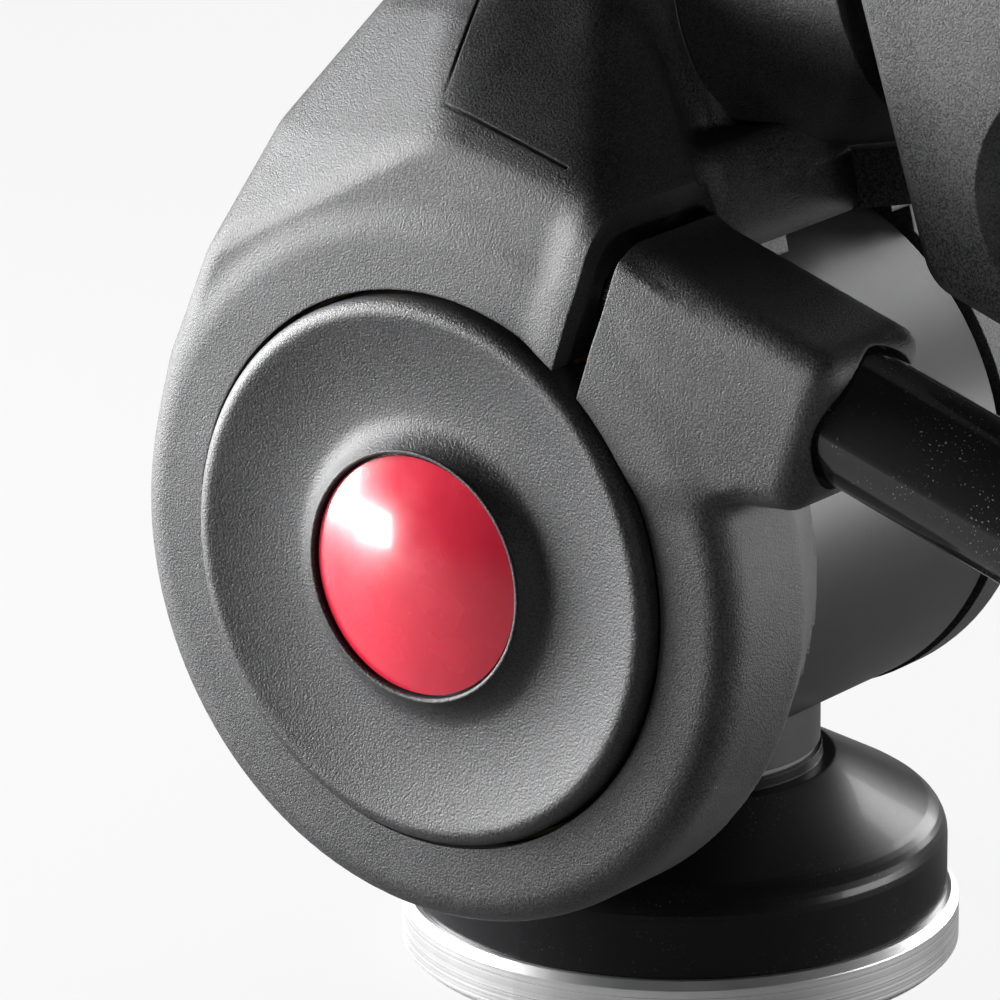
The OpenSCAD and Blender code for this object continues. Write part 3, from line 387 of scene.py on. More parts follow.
@dataclass(frozen=True)
class VialFluid:
    """Clear yellow-green fluid of a bubble level."""

    name: str
    colour: Colour

    def make(self) -> bpy.types.Material:
        """Build the material."""
        sheet = NodeSheet(self.name)
        cloud = sheet.noise(sheet.place(), size=2.0, detail=1.0)
        return sheet.finish({
            "Base Color": sheet.ramp(cloud, [(0.2, shade(self.colour, 0.95)), (0.8, self.colour)]),
            "Roughness": 0.03,
            "IOR": 1.45,
            "Transmission Weight": 0.75,
        })


Finish = GrainedPlastic | GlossEnamel | TurnedMetal | RubberSkin | DomedResin | SmoothPlastic | VialFluid


class Shop(Enum):
    """Finishes of this head, by the record's material slot."""

    TURNED_ALUMINIUM = TurnedMetal("turned_aluminium", (0.9, 0.9, 0.9), Axis.PAN, roughness=0.3, pitch=0.3,
                                   depth=0.02, metallic=0.9)
    GLOSS_BLACK = GlossEnamel("gloss_black", (0.012, 0.012, 0.013))
    BASE_BLACK = GlossEnamel("gloss_black", (0.008, 0.008, 0.009), roughness=0.32, coat=0.06, dust=0.1,
                             specular=0.15)
    DRUM_BLACK = TurnedMetal("drum_black", (0.04, 0.04, 0.042), Axis.TILT, roughness=0.42, pitch=0.2,
                             depth=0.015, metallic=0.4)
    MOULDED_GREY = GrainedPlastic("moulded_grey", (0.036, 0.036, 0.038))
    COVER_GREY = GrainedPlastic("cover_grey", (0.034, 0.034, 0.036), roughness=0.4, grain=0.24, depth=0.1,
                                speckle=0.6)
    RED = DomedResin("red", (0.68, 0.02, 0.05))
    BARREL_BLACK = GrainedPlastic("barrel_black", (0.03, 0.03, 0.031), roughness=0.42)
    CLAMP_GREY = GrainedPlastic("clamp_grey", (0.085, 0.085, 0.087))
    STEEL = TurnedMetal("steel", (0.6, 0.6, 0.62), Axis.PLATE, roughness=0.26, pitch=0.2)
    BLACK_STEEL = SmoothPlastic("black_steel", (0.035, 0.035, 0.037), roughness=0.34)
    BEARING = SmoothPlastic("bearing", (0.16, 0.16, 0.16), roughness=0.36)
    WASHER_WHITE = SmoothPlastic("washer_white", (0.8, 0.78, 0.72), roughness=0.4)
    FRICTION = SmoothPlastic("friction", (0.3, 0.19, 0.1), roughness=0.6)
    RUBBER = RubberSkin("rubber", (0.022, 0.022, 0.023))
    KNOB_BLACK = SmoothPlastic("knob_black", (0.028, 0.028, 0.028), roughness=0.4)
    PLATFORM_BLACK = GrainedPlastic("platform_black", (0.05, 0.05, 0.052), roughness=0.46, grain=0.18,
                                    depth=0.04)
    VIAL = VialFluid("vial", (0.72, 0.86, 0.2))

    @property
    def slot(self) -> str:
        """Name of the record's slot."""
        return self.value.name


class Paintbox:
    """Makes each finish's material once and lays it on pieces."""

    def __init__(self) -> None:
        """Start with nothing mixed."""
        self.mixed: dict[Shop, bpy.types.Material] = {}

    def material(self, shop: Shop) -> bpy.types.Material:
        """Material of one finish."""
        if shop not in self.mixed:
            self.mixed[shop] = shop.value.make()
        return self.mixed[shop]

    def dress(self, piece: Piece, shop: Shop) -> None:
        """Give a piece one finish all over."""
        piece.data.materials.clear()
        piece.data.materials.append(self.material(shop))
        for polygon in piece.data.polygons:
            polygon.material_index = 0


def smooth_union(a: np.ndarray, b: np.ndarray, reach: float) -> np.ndarray:
    """Join two distance fields with a fillet over a reach."""
    mix = np.clip(0.5 + 0.5 * (b - a) / reach, 0, 1)
    return b + (a - b) * mix - reach * mix * (1 - mix)


def smooth_join(a: np.ndarray, b: np.ndarray, reach: float) -> np.ndarray:
    """Keep what two distance fields share, with an edge between them rounded over a reach."""
    return -smooth_union(-a, -b, reach)


def rounded_box(q: np.ndarray, half: Sequence[float], radius: float) -> np.ndarray:
    """Distances of points from a box's centre to the box, which has half sizes and rounded edges."""
    d = np.abs(q) - np.asarray(half) + radius
    return np.linalg.norm(np.maximum(d, 0), axis=1) + np.minimum(d.max(1), 0) - radius


def outline_distance(p: np.ndarray, outline: Sequence[tuple[float, float]]) -> np.ndarray:
    """Distance in the plane to a closed outline, negative inside.

    Args:
        p: Points in the plane.
        outline: Corners of the outline in order.

    Returns:
        Distances.
    """
    corners = np.asarray(outline, float)
    nearest = np.full(len(p), np.inf)
    inside = np.zeros(len(p), bool)
    for a, b in zip(corners, np.roll(corners, -1, 0)):
        edge = b - a
        w = p - a
        t = np.clip(w @ edge / (edge @ edge), 0, 1)
        nearest = np.minimum(nearest, ((w - t[:, None] * edge) ** 2).sum(1))
        crosses = (a[1] <= p[:, 1]) != (b[1] <= p[:, 1])
        side = edge[0] * w[:, 1] - edge[1] * w[:, 0]
        inside ^= crosses & ((side > 0) == (edge[1] > 0))
    return np.where(inside, -1, 1) * np.sqrt(nearest)


def extruded(flat: np.ndarray, along: np.ndarray, half: float, radius: float) -> np.ndarray:
    """Distances to an outline stretched along an axis by half its length each way, with rounded ends."""
    d = np.stack([flat + radius, np.abs(along) - half + radius], 1)
    return np.linalg.norm(np.maximum(d, 0), axis=1) + np.minimum(d.max(1), 0) - radius


@dataclass(frozen=True)
class TurnedFrame:
    """Frame on the tilt axis, turned about it; millimetres."""

    angle: float
    height: float = 53.0

    def local(self, p: np.ndarray) -> np.ndarray:
        """Points of the shared frame in this frame."""
        c, s = math.cos(math.radians(self.angle)), math.sin(math.radians(self.angle))
        z = p[:, 2] - self.height
        return np.stack([p[:, 0], p[:, 1] * c + z * s, z * c - p[:, 1] * s], 1)

    def matrix(self) -> Matrix:
        """Matrix from this frame, in millimetres, to the shared frame in metres."""
        turn = Matrix.Rotation(math.radians(self.angle), 4, "X")
        return Matrix.Scale(MM, 4) @ Matrix.Translation((0, 0, self.height)) @ turn


@dataclass
class SectionLoft:
    """Convex form stretched over circles that stand square to x, each given as [x, y, z, radius]."""

    circles: list[tuple[float, float, float, float]]
    angles: int = 420
    grid: float = 0.1
    batch: int = 20000

    def __post_init__(self) -> None:
        """Work out the form's reach at each x and angle."""
        turn = np.arange(self.angles) * 2 * math.pi / self.angles
        self.across = np.stack([np.cos(turn), np.sin(turn)]).astype(np.float32)
        rows = np.array(sorted(self.circles))
        self.start, self.end = rows[0, 0], rows[-1, 0]
        self.places = np.arange(self.start, self.end + self.grid, self.grid)
        reach = rows[:, 1:3] @ self.across + rows[:, 3:]
        self.reach = np.stack([self.taut(rows[:, 0], column) for column in reach.T], 1).astype(np.float32)
        self.slope = np.gradient(self.reach, self.grid, axis=0)

    def taut(self, x: np.ndarray, height: np.ndarray) -> np.ndarray:
        """Line stretched over heights.

        Args:
            x: Places, in rising order.
            height: Heights there.

        Returns:
            Heights of the line at the form's grid places.
        """
        kept: list[int] = []
        for i in range(len(x)):
            while len(kept) > 1 or (kept and x[kept[-1]] == x[i]):
                b = kept[-1]
                a = kept[-2] if len(kept) > 1 else b
                turns = (x[b] - x[a]) * (height[i] - height[a]) - (height[b] - height[a]) * (x[i] - x[a])
                if x[b] == x[i] and height[b] >= height[i] or x[b] != x[i] and turns < 0:
                    break
                kept.pop()
            if not kept or x[kept[-1]] != x[i]:
                kept.append(i)
        return np.interp(self.places, x[kept], height[kept])

    def distance(self, p: np.ndarray) -> np.ndarray:
        """Distances of points to the form.

        Args:
            p: Points in the form's frame.

        Returns:
            Distances, near the surface.
        """
        out = np.empty(len(p))
        for first in range(0, len(p), self.batch):
            part = p[first:first + self.batch]
            spot = np.clip((part[:, 0] - self.start) / self.grid, 0, len(self.places) - 1.001)
            row = spot.astype(int)
            share = (spot - row).astype(np.float32)[:, None]
            if row.min() == row.max():
                reach = self.reach[row[:1]] * (1 - share[:1]) + self.reach[row[:1] + 1] * share[:1]
            else:
                reach = self.reach[row] * (1 - share) + self.reach[row + 1] * share
            gap = part[:, 1:].astype(np.float32) @ self.across - reach
            best = gap.argmax(1)
            side = gap[np.arange(len(part)), best] / np.sqrt(1 + self.slope[row, best] ** 2)
            ends = np.maximum(self.start - part[:, 0], part[:, 0] - self.end)
            out[first:first + self.batch] = np.maximum(side, ends)
        return out


@dataclass
class NetMesher:
    """Quad mesh of a field's zero level on a regular grid."""

    low: tuple[float, float, float]
    high: tuple[float, float, float]
    step: float
    probe: float = 0.05
    least_slope: float = 0.2

    def sample(self, form: Field) -> np.ndarray:
        """Values of the field on the grid, by x, y and z."""
        axes = [np.arange(a, b + self.step, self.step) for a, b in zip(self.low, self.high)]
        y, z = np.meshgrid(axes[1], axes[2], indexing="ij")
        slabs = []
        for x in axes[0]:
            points = np.stack([np.full(y.size, x), y.ravel(), z.ravel()], 1)
            slabs.append(form(points).reshape(y.shape))
        return np.stack(slabs)

    def mesh(self, form: Field) -> tuple[np.ndarray, np.ndarray]:
        """Vertices and quads of the zero level.

        Args:
            form: Field to mesh.

        Returns:
            Vertices, and the quads' vertex numbers.
        """
        values = self.sample(form)
        inside = values < 0
        cells = tuple(n - 1 for n in values.shape)
        total = np.zeros((*cells, 3))
        hits = np.zeros(cells)
        corner = [slice(0, -1), slice(1, None)]
        for axis in range(3):
            for first in (0, 1):
                for second in (0, 1):
                    spare = [first, second]
                    spare.insert(axis, 0)
                    a = values[tuple(corner[k] for k in spare)]
                    spare[axis] = 1
                    b = values[tuple(corner[k] for k in spare)]
                    crosses = (a < 0) != (b < 0)
                    with np.errstate(divide="ignore", invalid="ignore"):
                        t = np.where(crosses, a / (a - b), 0)
                    spot = np.zeros((*cells, 3))
                    for k in range(3):
                        spot[..., k] = t if k == axis else spare[k]
                    total += np.where(crosses[..., None], spot, 0)
                    hits += crosses
        used = hits > 0
        number = np.full(cells, -1)
        number[used] = np.arange(used.sum())
        grid = np.stack(np.meshgrid(*[np.arange(n) for n in cells], indexing="ij"), -1)
        points = (grid[used] + total[used] / hits[used][:, None]) * self.step + np.asarray(self.low)
        quads = []
        for axis in range(3):
            s = np.moveaxis(inside, axis, 0)
            ids = np.moveaxis(number, axis, 0)
            near, far = s[:-1, 1:-1, 1:-1], s[1:, 1:-1, 1:-1]
            flips = near != far
            ring = np.stack([ids[:, :-1, :-1], ids[:, 1:, :-1], ids[:, 1:, 1:], ids[:, :-1, 1:]], -1)[flips]
            back = far[flips] if axis != 1 else near[flips]
            ring[back] = ring[back][:, ::-1]
            quads.append(ring)
        return self.settle(points, form), np.concatenate(quads)

    def settle(self, points: np.ndarray, form: Field, rounds: int = 2) -> np.ndarray:
        """Move points that are near the field's zero level onto it."""
        h = self.probe
        for _ in range(rounds):
            value = form(points)
            slope = np.stack([form(points + h * e) - form(points - h * e) for e in np.eye(3)], 1) / (2 * h)
            steepness = np.maximum((slope ** 2).sum(1), self.least_slope)
            points = points - value[:, None] * slope / steepness[:, None]
        return points


def mesh_piece(name: str, points: Sequence, faces: Sequence) -> Piece:
    """New object in the scene, from points in metres and the vertex numbers of each face."""
    mesh = bpy.data.meshes.new(name)
    mesh.from_pydata([tuple(p) for p in points], [], [tuple(int(i) for i in f) for f in faces])
    mesh.validate()
    piece = bpy.data.objects.new(name, mesh)
    bpy.context.scene.collection.objects.link(piece)
    return piece


def rod_cutter(place: Matrix, start: Sequence[float], end: Sequence[float], radius: float,
               sides: int = 160) -> Piece:
    """Round cutter between two points.

    Args:
        place: Matrix of the frame that the points are in.
        start: Middle of one end.
        end: Middle of the other end.
        radius: Radius.
        sides: Number of flats round it.

    Returns:
        The cutter.
    """
    a, b = Vector(start), Vector(end)
    bm = bmesh.new()
    bmesh.ops.create_cone(bm, cap_ends=True, segments=sides, radius1=radius, radius2=radius,
                          depth=(b - a).length)
    turn = (b - a).to_track_quat("Z", "Y").to_matrix().to_4x4()
    bm.transform(place @ Matrix.Translation((a + b) / 2) @ turn)
    return object_from(bm)


def box_cutter(place: Matrix, low: Sequence[float], high: Sequence[float]) -> Piece:
    """Block cutter between two corners, which are in the frame of a matrix."""
    a, b = Vector(low), Vector(high)
    bm = bmesh.new()
    bmesh.ops.create_cube(bm, size=1)
    bm.transform(place @ Matrix.Translation((a + b) / 2) @ Matrix.Diagonal((*(b - a), 1)))
    return object_from(bm)


def plate_cutter(place: Matrix, outline: Sequence[tuple[float, float]],
                 span: tuple[float, float]) -> Piece:
    """Flat cutter with an outline in the frame's x and z.

    Args:
        place: Matrix of the frame.
        outline: Corners of the outline.
        span: Ends of the cutter along y.

    Returns:
        The cutter.
    """
    bm = bmesh.new()
    face = bm.faces.new([bm.verts.new((x, span[0], z)) for x, z in outline])
    grown = bmesh.ops.extrude_face_region(bm, geom=[face])
    moved = [v for v in grown["geom"] if isinstance(v, bmesh.types.BMVert)]
    bmesh.ops.translate(bm, verts=moved, vec=(0, span[1] - span[0], 0))
    bm.transform(place)
    return object_from(bm)


def groove_cutter(place: Matrix, start: Sequence[float], end: Sequence[float], normal: Sequence[float],
                  size: tuple[float, float]) -> Piece:
    """Narrow cutter along a line on a face.

    Args:
        place: Matrix of the frame that the line is in.
        start: One end of the line.
        end: The other end.
        normal: Direction out of the face.
        size: Width of the groove, and how far the cutter reaches to each side of the face.

    Returns:
        The cutter.
    """
    a, b = Vector(start), Vector(end)
    along = (b - a).normalized()
    out = Vector(normal)
    out = (out - out.dot(along) * along).normalized()
    turn = Matrix((along, out.cross(along), out)).transposed().to_4x4()
    bm = bmesh.new()
    bmesh.ops.create_cube(bm, size=1)
    bm.transform(place @ Matrix.Translation((a + b) / 2) @ turn
                 @ Matrix.Diagonal(((b - a).length, size[0], 2 * size[1], 1)))
    return object_from(bm)


def object_from(bm: bmesh.types.BMesh, name: str = "cutter") -> Piece:
    """Object of a finished bmesh, which is freed."""
    bmesh.ops.recalc_face_normals(bm, faces=bm.faces)
    mesh = bpy.data.meshes.new(name)
    bm.to_mesh(mesh)
    bm.free()
    piece = bpy.data.objects.new(name, mesh)
    bpy.context.scene.collection.objects.link(piece)
    return piece


def cut_away(piece: Piece, cutters: Sequence[Piece]) -> None:
    """Take cutters out of a piece, then remove them."""
    for cutter in cutters:
        step = piece.modifiers.new("cut", "BOOLEAN")
        step.operation = "DIFFERENCE"
        step.solver = "EXACT"
        step.object = cutter
    deps = bpy.context.evaluated_depsgraph_get()
    mesh = bpy.data.meshes.new_from_object(piece.evaluated_get(deps))
    piece.modifiers.clear()
    old, piece.data = piece.data, mesh
    mesh.name = piece.name
    bpy.data.meshes.remove(old)
    for cutter in cutters:
        bpy.data.meshes.remove(cutter.data)


def turned_piece(name: str, axis: Axis, outline: Sequence[tuple[float, float]],
                 sides: int = 256) -> Piece:
    """Piece turned from a half section.

    Args:
        name: Name of the piece.
        axis: Axis that it turns on.
        outline: Corners of the half section as [radius, place along the axis], in millimetres.
        sides: Number of flats round it.

    Returns:
        The piece.
    """
    bm = bmesh.new()
    ring = [bm.verts.new((r, 0, x)) for r, x in outline]
    for a, b in zip(ring, ring[1:]):
        bm.edges.new((a, b))
    bmesh.ops.spin(bm, geom=bm.verts[:] + bm.edges[:], cent=(0, 0, 0), axis=(0, 0, 1), angle=2 * math.pi,
                   steps=sides, use_merge=True)
    bmesh.ops.remove_doubles(bm, verts=bm.verts, dist=1e-4)
    turn = axis.direction.to_track_quat("Z", "Y").to_matrix().to_4x4()
    bm.transform(Matrix.Translation(axis.point) @ turn @ Matrix.Scale(MM, 4))
    return object_from(bm, name)


def arc(middle: tuple[float, float], radius: float, start: float, end: float,
        steps: int = 10) -> list[tuple[float, float]]:
    """Points on an arc, in order, from a start angle to an end angle in degrees."""
    return [(middle[0] + radius * math.cos(a), middle[1] + radius * math.sin(a))
            for a in np.radians(np.linspace(start, end, steps + 1))]


def soften(piece: Piece, angle: float) -> None:
    """Shade a piece smooth, with sharp edges above an angle in degrees."""
    piece.data.shade_smooth()
    piece.data.set_sharp_from_angle(angle=math.radians(angle))


@dataclass
class Dresser:
    """Pieces of one sub-assembly and the finishes of its nodes."""

    frame: dict
    paint: Paintbox

    def finish_nodes(self, finishes: dict[str, Shop]) -> None:
        """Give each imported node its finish."""
        for node, shop in finishes.items():
            self.paint.dress(self.frame["nodes"][node], shop)
            LOG.info("%s: %s", node, shop.slot)


@dataclass
class PanBase(Dresser):
    """Turned disc, enamelled cone and what turns and brakes in it."""

    def build(self) -> None:
        """Dress the base."""
        self.finish_nodes({
            "base_disc": Shop.TURNED_ALUMINIUM, "thread_bush": Shop.STEEL, "base_housing": Shop.BASE_BLACK,
            "base_screws": Shop.BLACK_STEEL, "pan_bush": Shop.BEARING, "brake_shoe": Shop.FRICTION,
            "pan_knob": Shop.KNOB_BLACK, "pan_stud": Shop.STEEL,
        })


@dataclass
class TiltDrum(Dresser):
    """Turned drum on its neck, with the dished cover disc and the domed red cap."""

    disc_r: float = 28.7
    disc_face: float = 46.0
    disc_back: float = 41.15
    disc_rim: float = 1.5
    dish: float = 1.9
    lip_r: float = 13.2
    lip_top: float = 46.5
    lip_flare: float = 3.4
    lip_round: float = 0.3
    lip_inset: float = 0.1
    dish_fade: float = 1.7
    flare_rise: float = 2.2
    seat_r: float = 12.8
    seat_x: float = 45.25
    sharp: float = 32.0

    def disc_outline(self) -> list[tuple[float, float]]:
        """Half section of the cover disc: a rounded rim, a shallow dish and a flared lip round the cap."""
        rim = arc((self.disc_r - self.disc_rim, self.disc_face - self.disc_rim), self.disc_rim, 0, 105)
        r0, x0 = rim[-1]
        start = self.lip_r + self.lip_flare
        bed = self.disc_face - self.dish
        dish = []
        for t in np.linspace(0, 1, 16)[1:]:
            r = r0 + (start - r0) * t
            dish.append((float(r), float(bed + (x0 - bed) * (1 - t) ** self.dish_fade)))
        flare = []
        shoulder = self.lip_top - self.lip_round
        for t in np.linspace(0, 1, 12)[1:]:
            r = start - self.lip_flare * t
            flare.append((float(r), float(bed + (shoulder - bed) * t ** self.flare_rise)))
        crown = arc((self.lip_r - self.lip_inset, shoulder), self.lip_round, 60, 180, 6)
        return [(0.0, self.disc_back), (self.disc_r, self.disc_back), *rim, *dish, *flare, *crown,
                (self.seat_r, self.seat_x), (0.0, self.seat_x)]

    def build(self) -> None:
        """Turn the cover disc and dress the drum."""
        self.finish_nodes({
            "pan_spindle": Shop.STEEL, "tilt_drum": Shop.DRUM_BLACK, "red_cap": Shop.RED,
            "pivot_bolt": Shop.STEEL,
        })
        disc = turned_piece("dished_cover", Axis.TILT, self.disc_outline())
        soften(disc, self.sharp)
        self.paint.dress(disc, Shop.COVER_GREY)
        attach(disc, "pan")
        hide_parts("cover_disc")


@dataclass
class ClampHousing(Dresser):
    """Moulded split-clamp housing: ring, two jaws, arm and tower.

    lip and nut_recess are [place, radius], flange is [radius, end], head is [radius, start, end], cradle is
    [x end, y end, z start, z end], panel is [normal, distance], and over is a cutter's reach past a face.
    """

    level: TurnedFrame = TurnedFrame(13.0)
    lever: TurnedFrame = TurnedFrame(-18.0)
    step: float = 0.75
    ring_face: float = 44.0
    ring_rear: float = 21.5
    ring_r: float = 37.6
    ring_rear_r: float = 33.0
    ring_waist: float = 31.6
    ring_round: float = 3.2
    ring_edge: float = 1.2
    past_axis: float = -40.0
    bore_r: float = 29.57
    lip: tuple[float, float] = (41.45, 29.3)
    clear_r: float = 31.2
    slit: tuple[float, float] = (8.2, 11.8)
    slit_root: float = 36.0
    jaw_top: float = 45.0
    jaw_rear: float = 26.8
    boss: tuple[tuple[float, float], ...] = (
        (7.0, 21.6), (23.4, 23.6), (35.7, 28.7), (35.7, 41.1), (7.0, 41.1))
    boss_corner: float = 2.5
    boss_round: float = 3.0
    boss_fillet: float = 3.0
    split: float = 3.0
    barrel_z: float = 50.8
    head: tuple[float, float, float] = (22.0, -7.0, 21.5)
    head_round: float = 2.0
    post_overlap: float = 3.0
    arm_head_x: float = 24.0
    arm_sunk: float = 0.4
    arm_fillet: float = 1.5
    crest_round: float = 2.0
    flange: tuple[float, float] = (20.0, 23.8)
    flange_middle: float = 12.0
    flange_round: float = 0.8
    flange_fillet: float = 1.5
    tower_fillet: float = 5.0
    cradle: tuple[float, float, float, float] = (25.8, 31.6, 26.2, 37.5)
    cradle_round: float = 2.2
    cradle_fillet: float = 2.0
    lever_axis: tuple[float, float] = (35.4, 35.8)
    lever_seat: float = 35.2
    lever_bore_r: float = 7.6
    stud_bore_r: float = 4.35
    barrel_bore_r: float = 18.35
    bush_bore_r: float = 11.47
    nut_recess: tuple[float, float] = (-2.25, 12.5)
    over: float = 1.0
    sharp: float = 38.0
    brow: tuple[tuple[float, float, float], ...] = (
        (-17.1, 30.2, 7.0), (-24.1, 20.6, 7.0), (11.5, 38.5, 7.0), (23.5, 33.5, 7.0))
    spine: tuple[tuple[float, float, float, float], ...] = (
        (31.0, -10.5, 39.5, 9.0), (24.0, -1.0, 49.0, 9.0), (24.0, 14.0, 51.0, 9.0),
        (39.0, 10.8, 46.5, 1.5), (32.8, 10.5, 53.5, 1.5))
    panel: tuple[tuple[float, float, float], float] = ((0.574, 0.412, 0.707), 61.9)
    panel_round: float = 3.4
    seams: tuple[tuple[tuple[float, float, float], tuple[float, float, float]], ...] = (
        ((41.2, 11.0, 47.65), (24.4, 10.0, 62.1)), ((41.2, 11.0, 47.65), (41.0, 25.2, 39.2)))
    seam_size: tuple[float, float] = (0.4, 0.9)

    def arm_form(self) -> SectionLoft:
        """Arm from the ring and the upper jaw up to the tower's head, in the level frame."""
        waist_r = self.ring_r - self.arm_sunk
        circles = [(self.ring_rear + self.ring_edge, 0.0, 0.0, self.ring_rear_r - self.ring_edge),
                   (self.ring_waist, 0.0, 0.0, waist_r), (self.jaw_rear + self.over, *self.brow[-1])]
        for a in np.radians(np.arange(0, 91, 7.5)):
            x = self.ring_face - self.ring_round * (1 - math.sin(a))
            inset = self.ring_round * (1 - math.cos(a))
            circles.append((x, 0.0, 0.0, waist_r - inset))
            circles += [(x, y, z, r - inset) for y, z, r in self.brow]
        half_turn = np.radians(np.arange(-90, 91, 6))
        for x, y, z, r in self.spine:
            circles += [(x + r * math.sin(a), y, z, r * math.cos(a)) for a in half_turn]
        return SectionLoft(circles)

    def ring_outline(self) -> list[tuple[float, float]]:
        """Half section of the ring, as [x, radius]."""
        size = self.ring_round
        rim = [(self.ring_face - size + size * math.sin(a), self.ring_r - size + size * math.cos(a))
               for a in np.linspace(0, math.pi / 2, 13)]
        edge = self.ring_edge
        rear = [(self.ring_rear, self.past_axis), (self.ring_rear, self.ring_rear_r - edge),
                (self.ring_rear + edge, self.ring_rear_r), (self.ring_waist, self.ring_r)]
        return [*rear, *rim, (self.ring_face, self.past_axis)]

    def tower(self, q: np.ndarray) -> np.ndarray:
        """Distances of points of the level frame to the tower: its post, round head and flange."""
        head_r, y0, y1 = self.head
        middle, half = (y0 + y1) / 2, (y1 - y0) / 2
        span = self.arm_head_x - self.split
        post = rounded_box(q - [(self.arm_head_x + self.split) / 2, middle, self.barrel_z / 2],
                           [span / 2 + self.post_overlap, half, self.barrel_z / 2], self.head_round)
        radius = np.hypot(q[:, 0], q[:, 2] - self.barrel_z)
        round_head = extruded(radius - head_r, q[:, 1] - middle, half, self.head_round)
        flange = extruded(radius - self.flange[0], q[:, 1] - self.flange_middle,
                          self.flange[1] - self.flange_middle, self.flange_round)
        return smooth_union(np.minimum(post, round_head), flange, self.flange_fillet)

    def field(self) -> Field:
        """Distance field of the whole moulding, before it is bored and slit."""
        arm = self.arm_form()
        ring = self.ring_outline()

        def distance(p: np.ndarray) -> np.ndarray:
            """Distances of points of the shared frame, in millimetres."""
            q = self.level.local(p)
            w = self.lever.local(p)
            radius = np.hypot(q[:, 1], q[:, 2])
            body = outline_distance(np.stack([p[:, 0], radius], 1), ring)
            normal, offset = self.panel
            crest = smooth_join(p[:, 0] - self.ring_face, q @ np.array(normal) - offset, self.panel_round)
            body = smooth_union(body, smooth_join(arm.distance(q), crest, self.crest_round), self.arm_fillet)
            middle, half = (self.ring_face + self.jaw_rear) / 2, (self.ring_face - self.jaw_rear) / 2
            flat = outline_distance(w[:, 1:], self.boss) - self.boss_corner
            boss = extruded(flat, w[:, 0] - middle, half, self.boss_round)
            body = smooth_union(body, boss, self.boss_fillet)
            body = smooth_union(body, self.tower(q), self.tower_fillet)
            x1, y1, z0, z1 = self.cradle
            cradle = rounded_box(q - [x1 / 2, y1 / 2, (z0 + z1) / 2], [x1 / 2, y1 / 2, (z1 - z0) / 2],
                                 self.cradle_round)
            return smooth_union(body, cradle, self.cradle_fillet)

        return distance

    def slit_outline(self) -> list[tuple[float, float]]:
        """Outline of the slit as [x, rise], which passes in front of the cradle."""
        inside, above, past = 6.0, 12.0, 0.1
        rear, front = self.ring_rear - self.over, self.ring_face + 3 * self.over
        low, high = self.bore_r - inside, self.jaw_top + above
        step_x, step_v = self.cradle[0] + past, self.slit_root
        return [(rear, low), (front, low), (front, high), (step_x, high), (step_x, step_v), (rear, step_v)]

    def cutters(self) -> list[Piece]:
        """Everything that is bored, slit or split off the moulding."""
        row = TurnedFrame(0.0).matrix()
        level, lever = self.level.matrix(), self.lever.matrix()
        barrel = level @ Matrix.Translation((0, 0, self.barrel_z))
        x, v = self.lever_axis
        rear, front = self.ring_rear - self.over, self.ring_face + 3 * self.over
        lip_x, lip_r = self.lip
        nut_y, nut_r = self.nut_recess
        far, wide = 60, 90
        lever_end, stud_start, stud_end = 50, -6, 40
        bush_start, bush_end = -20, 30
        return [
            box_cutter(row, (-far, -wide, -wide), (self.split, wide, 2 * far)),
            rod_cutter(row, (rear, 0, 0), (lip_x, 0, 0), self.bore_r, sides=256),
            rod_cutter(row, (lip_x - 2 * self.over, 0, 0), (front, 0, 0), lip_r, sides=256),
            rod_cutter(row, (0, 0, 0), (self.ring_rear, 0, 0), self.clear_r, sides=256),
            plate_cutter(lever, self.slit_outline(), self.slit),
            rod_cutter(lever, (x, self.lever_seat, v), (x, lever_end, v), self.lever_bore_r, sides=96),
            rod_cutter(lever, (x, stud_start, v), (x, stud_end, v), self.stud_bore_r, sides=64),
            rod_cutter(barrel, (0, self.flange[1], 0), (0, far, 0), self.barrel_bore_r, sides=192),
            rod_cutter(barrel, (0, bush_start, 0), (0, bush_end, 0), self.bush_bore_r, sides=128),
            rod_cutter(barrel, (0, bush_start, 0), (0, nut_y, 0), nut_r, sides=128),
            *(groove_cutter(level, a, b, self.panel[0], self.seam_size) for a, b in self.seams),
        ]

    def build(self) -> None:
        """Mould the housing and dress it with its mates."""
        self.finish_nodes({
            "rear_housing": Shop.MOULDED_GREY, "clamp_liner": Shop.FRICTION, "clamp_nut": Shop.STEEL,
            "thrust_washer": Shop.WASHER_WHITE, "rear_cover": Shop.MOULDED_GREY,
            "housing_screws": Shop.BLACK_STEEL, "barrel_washer": Shop.BLACK_STEEL, "shaft_bush": Shop.BEARING,
        })
        low, high = (np.array(v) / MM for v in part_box("front_housing"))
        margin = 3 * self.over
        mesher = NetMesher(tuple(low - margin), tuple(high + margin), self.step)
        points, quads = mesher.mesh(self.field())
        piece = mesh_piece("clamp_moulding", points * MM, quads)
        cut_away(piece, self.cutters())
        soften(piece, self.sharp)
        self.paint.dress(piece, Shop.MOULDED_GREY)
        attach(piece, "tilt")
        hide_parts("front_housing")
        LOG.info("clamp_moulding: %d faces", len(piece.data.polygons))


@dataclass
class Levers(Dresser):
    """Two twist levers: tube, stud, ribbed grip and end cap."""

    def build(self) -> None:
        """Dress both levers."""
        for side in ("tilt_lever", "side_lever"):
            self.finish_nodes({
                f"{side}_tube": Shop.GLOSS_BLACK, f"{side}_stud": Shop.STEEL, f"{side}_grip": Shop.RUBBER,
                f"{side}_cap": Shop.KNOB_BLACK,
            })


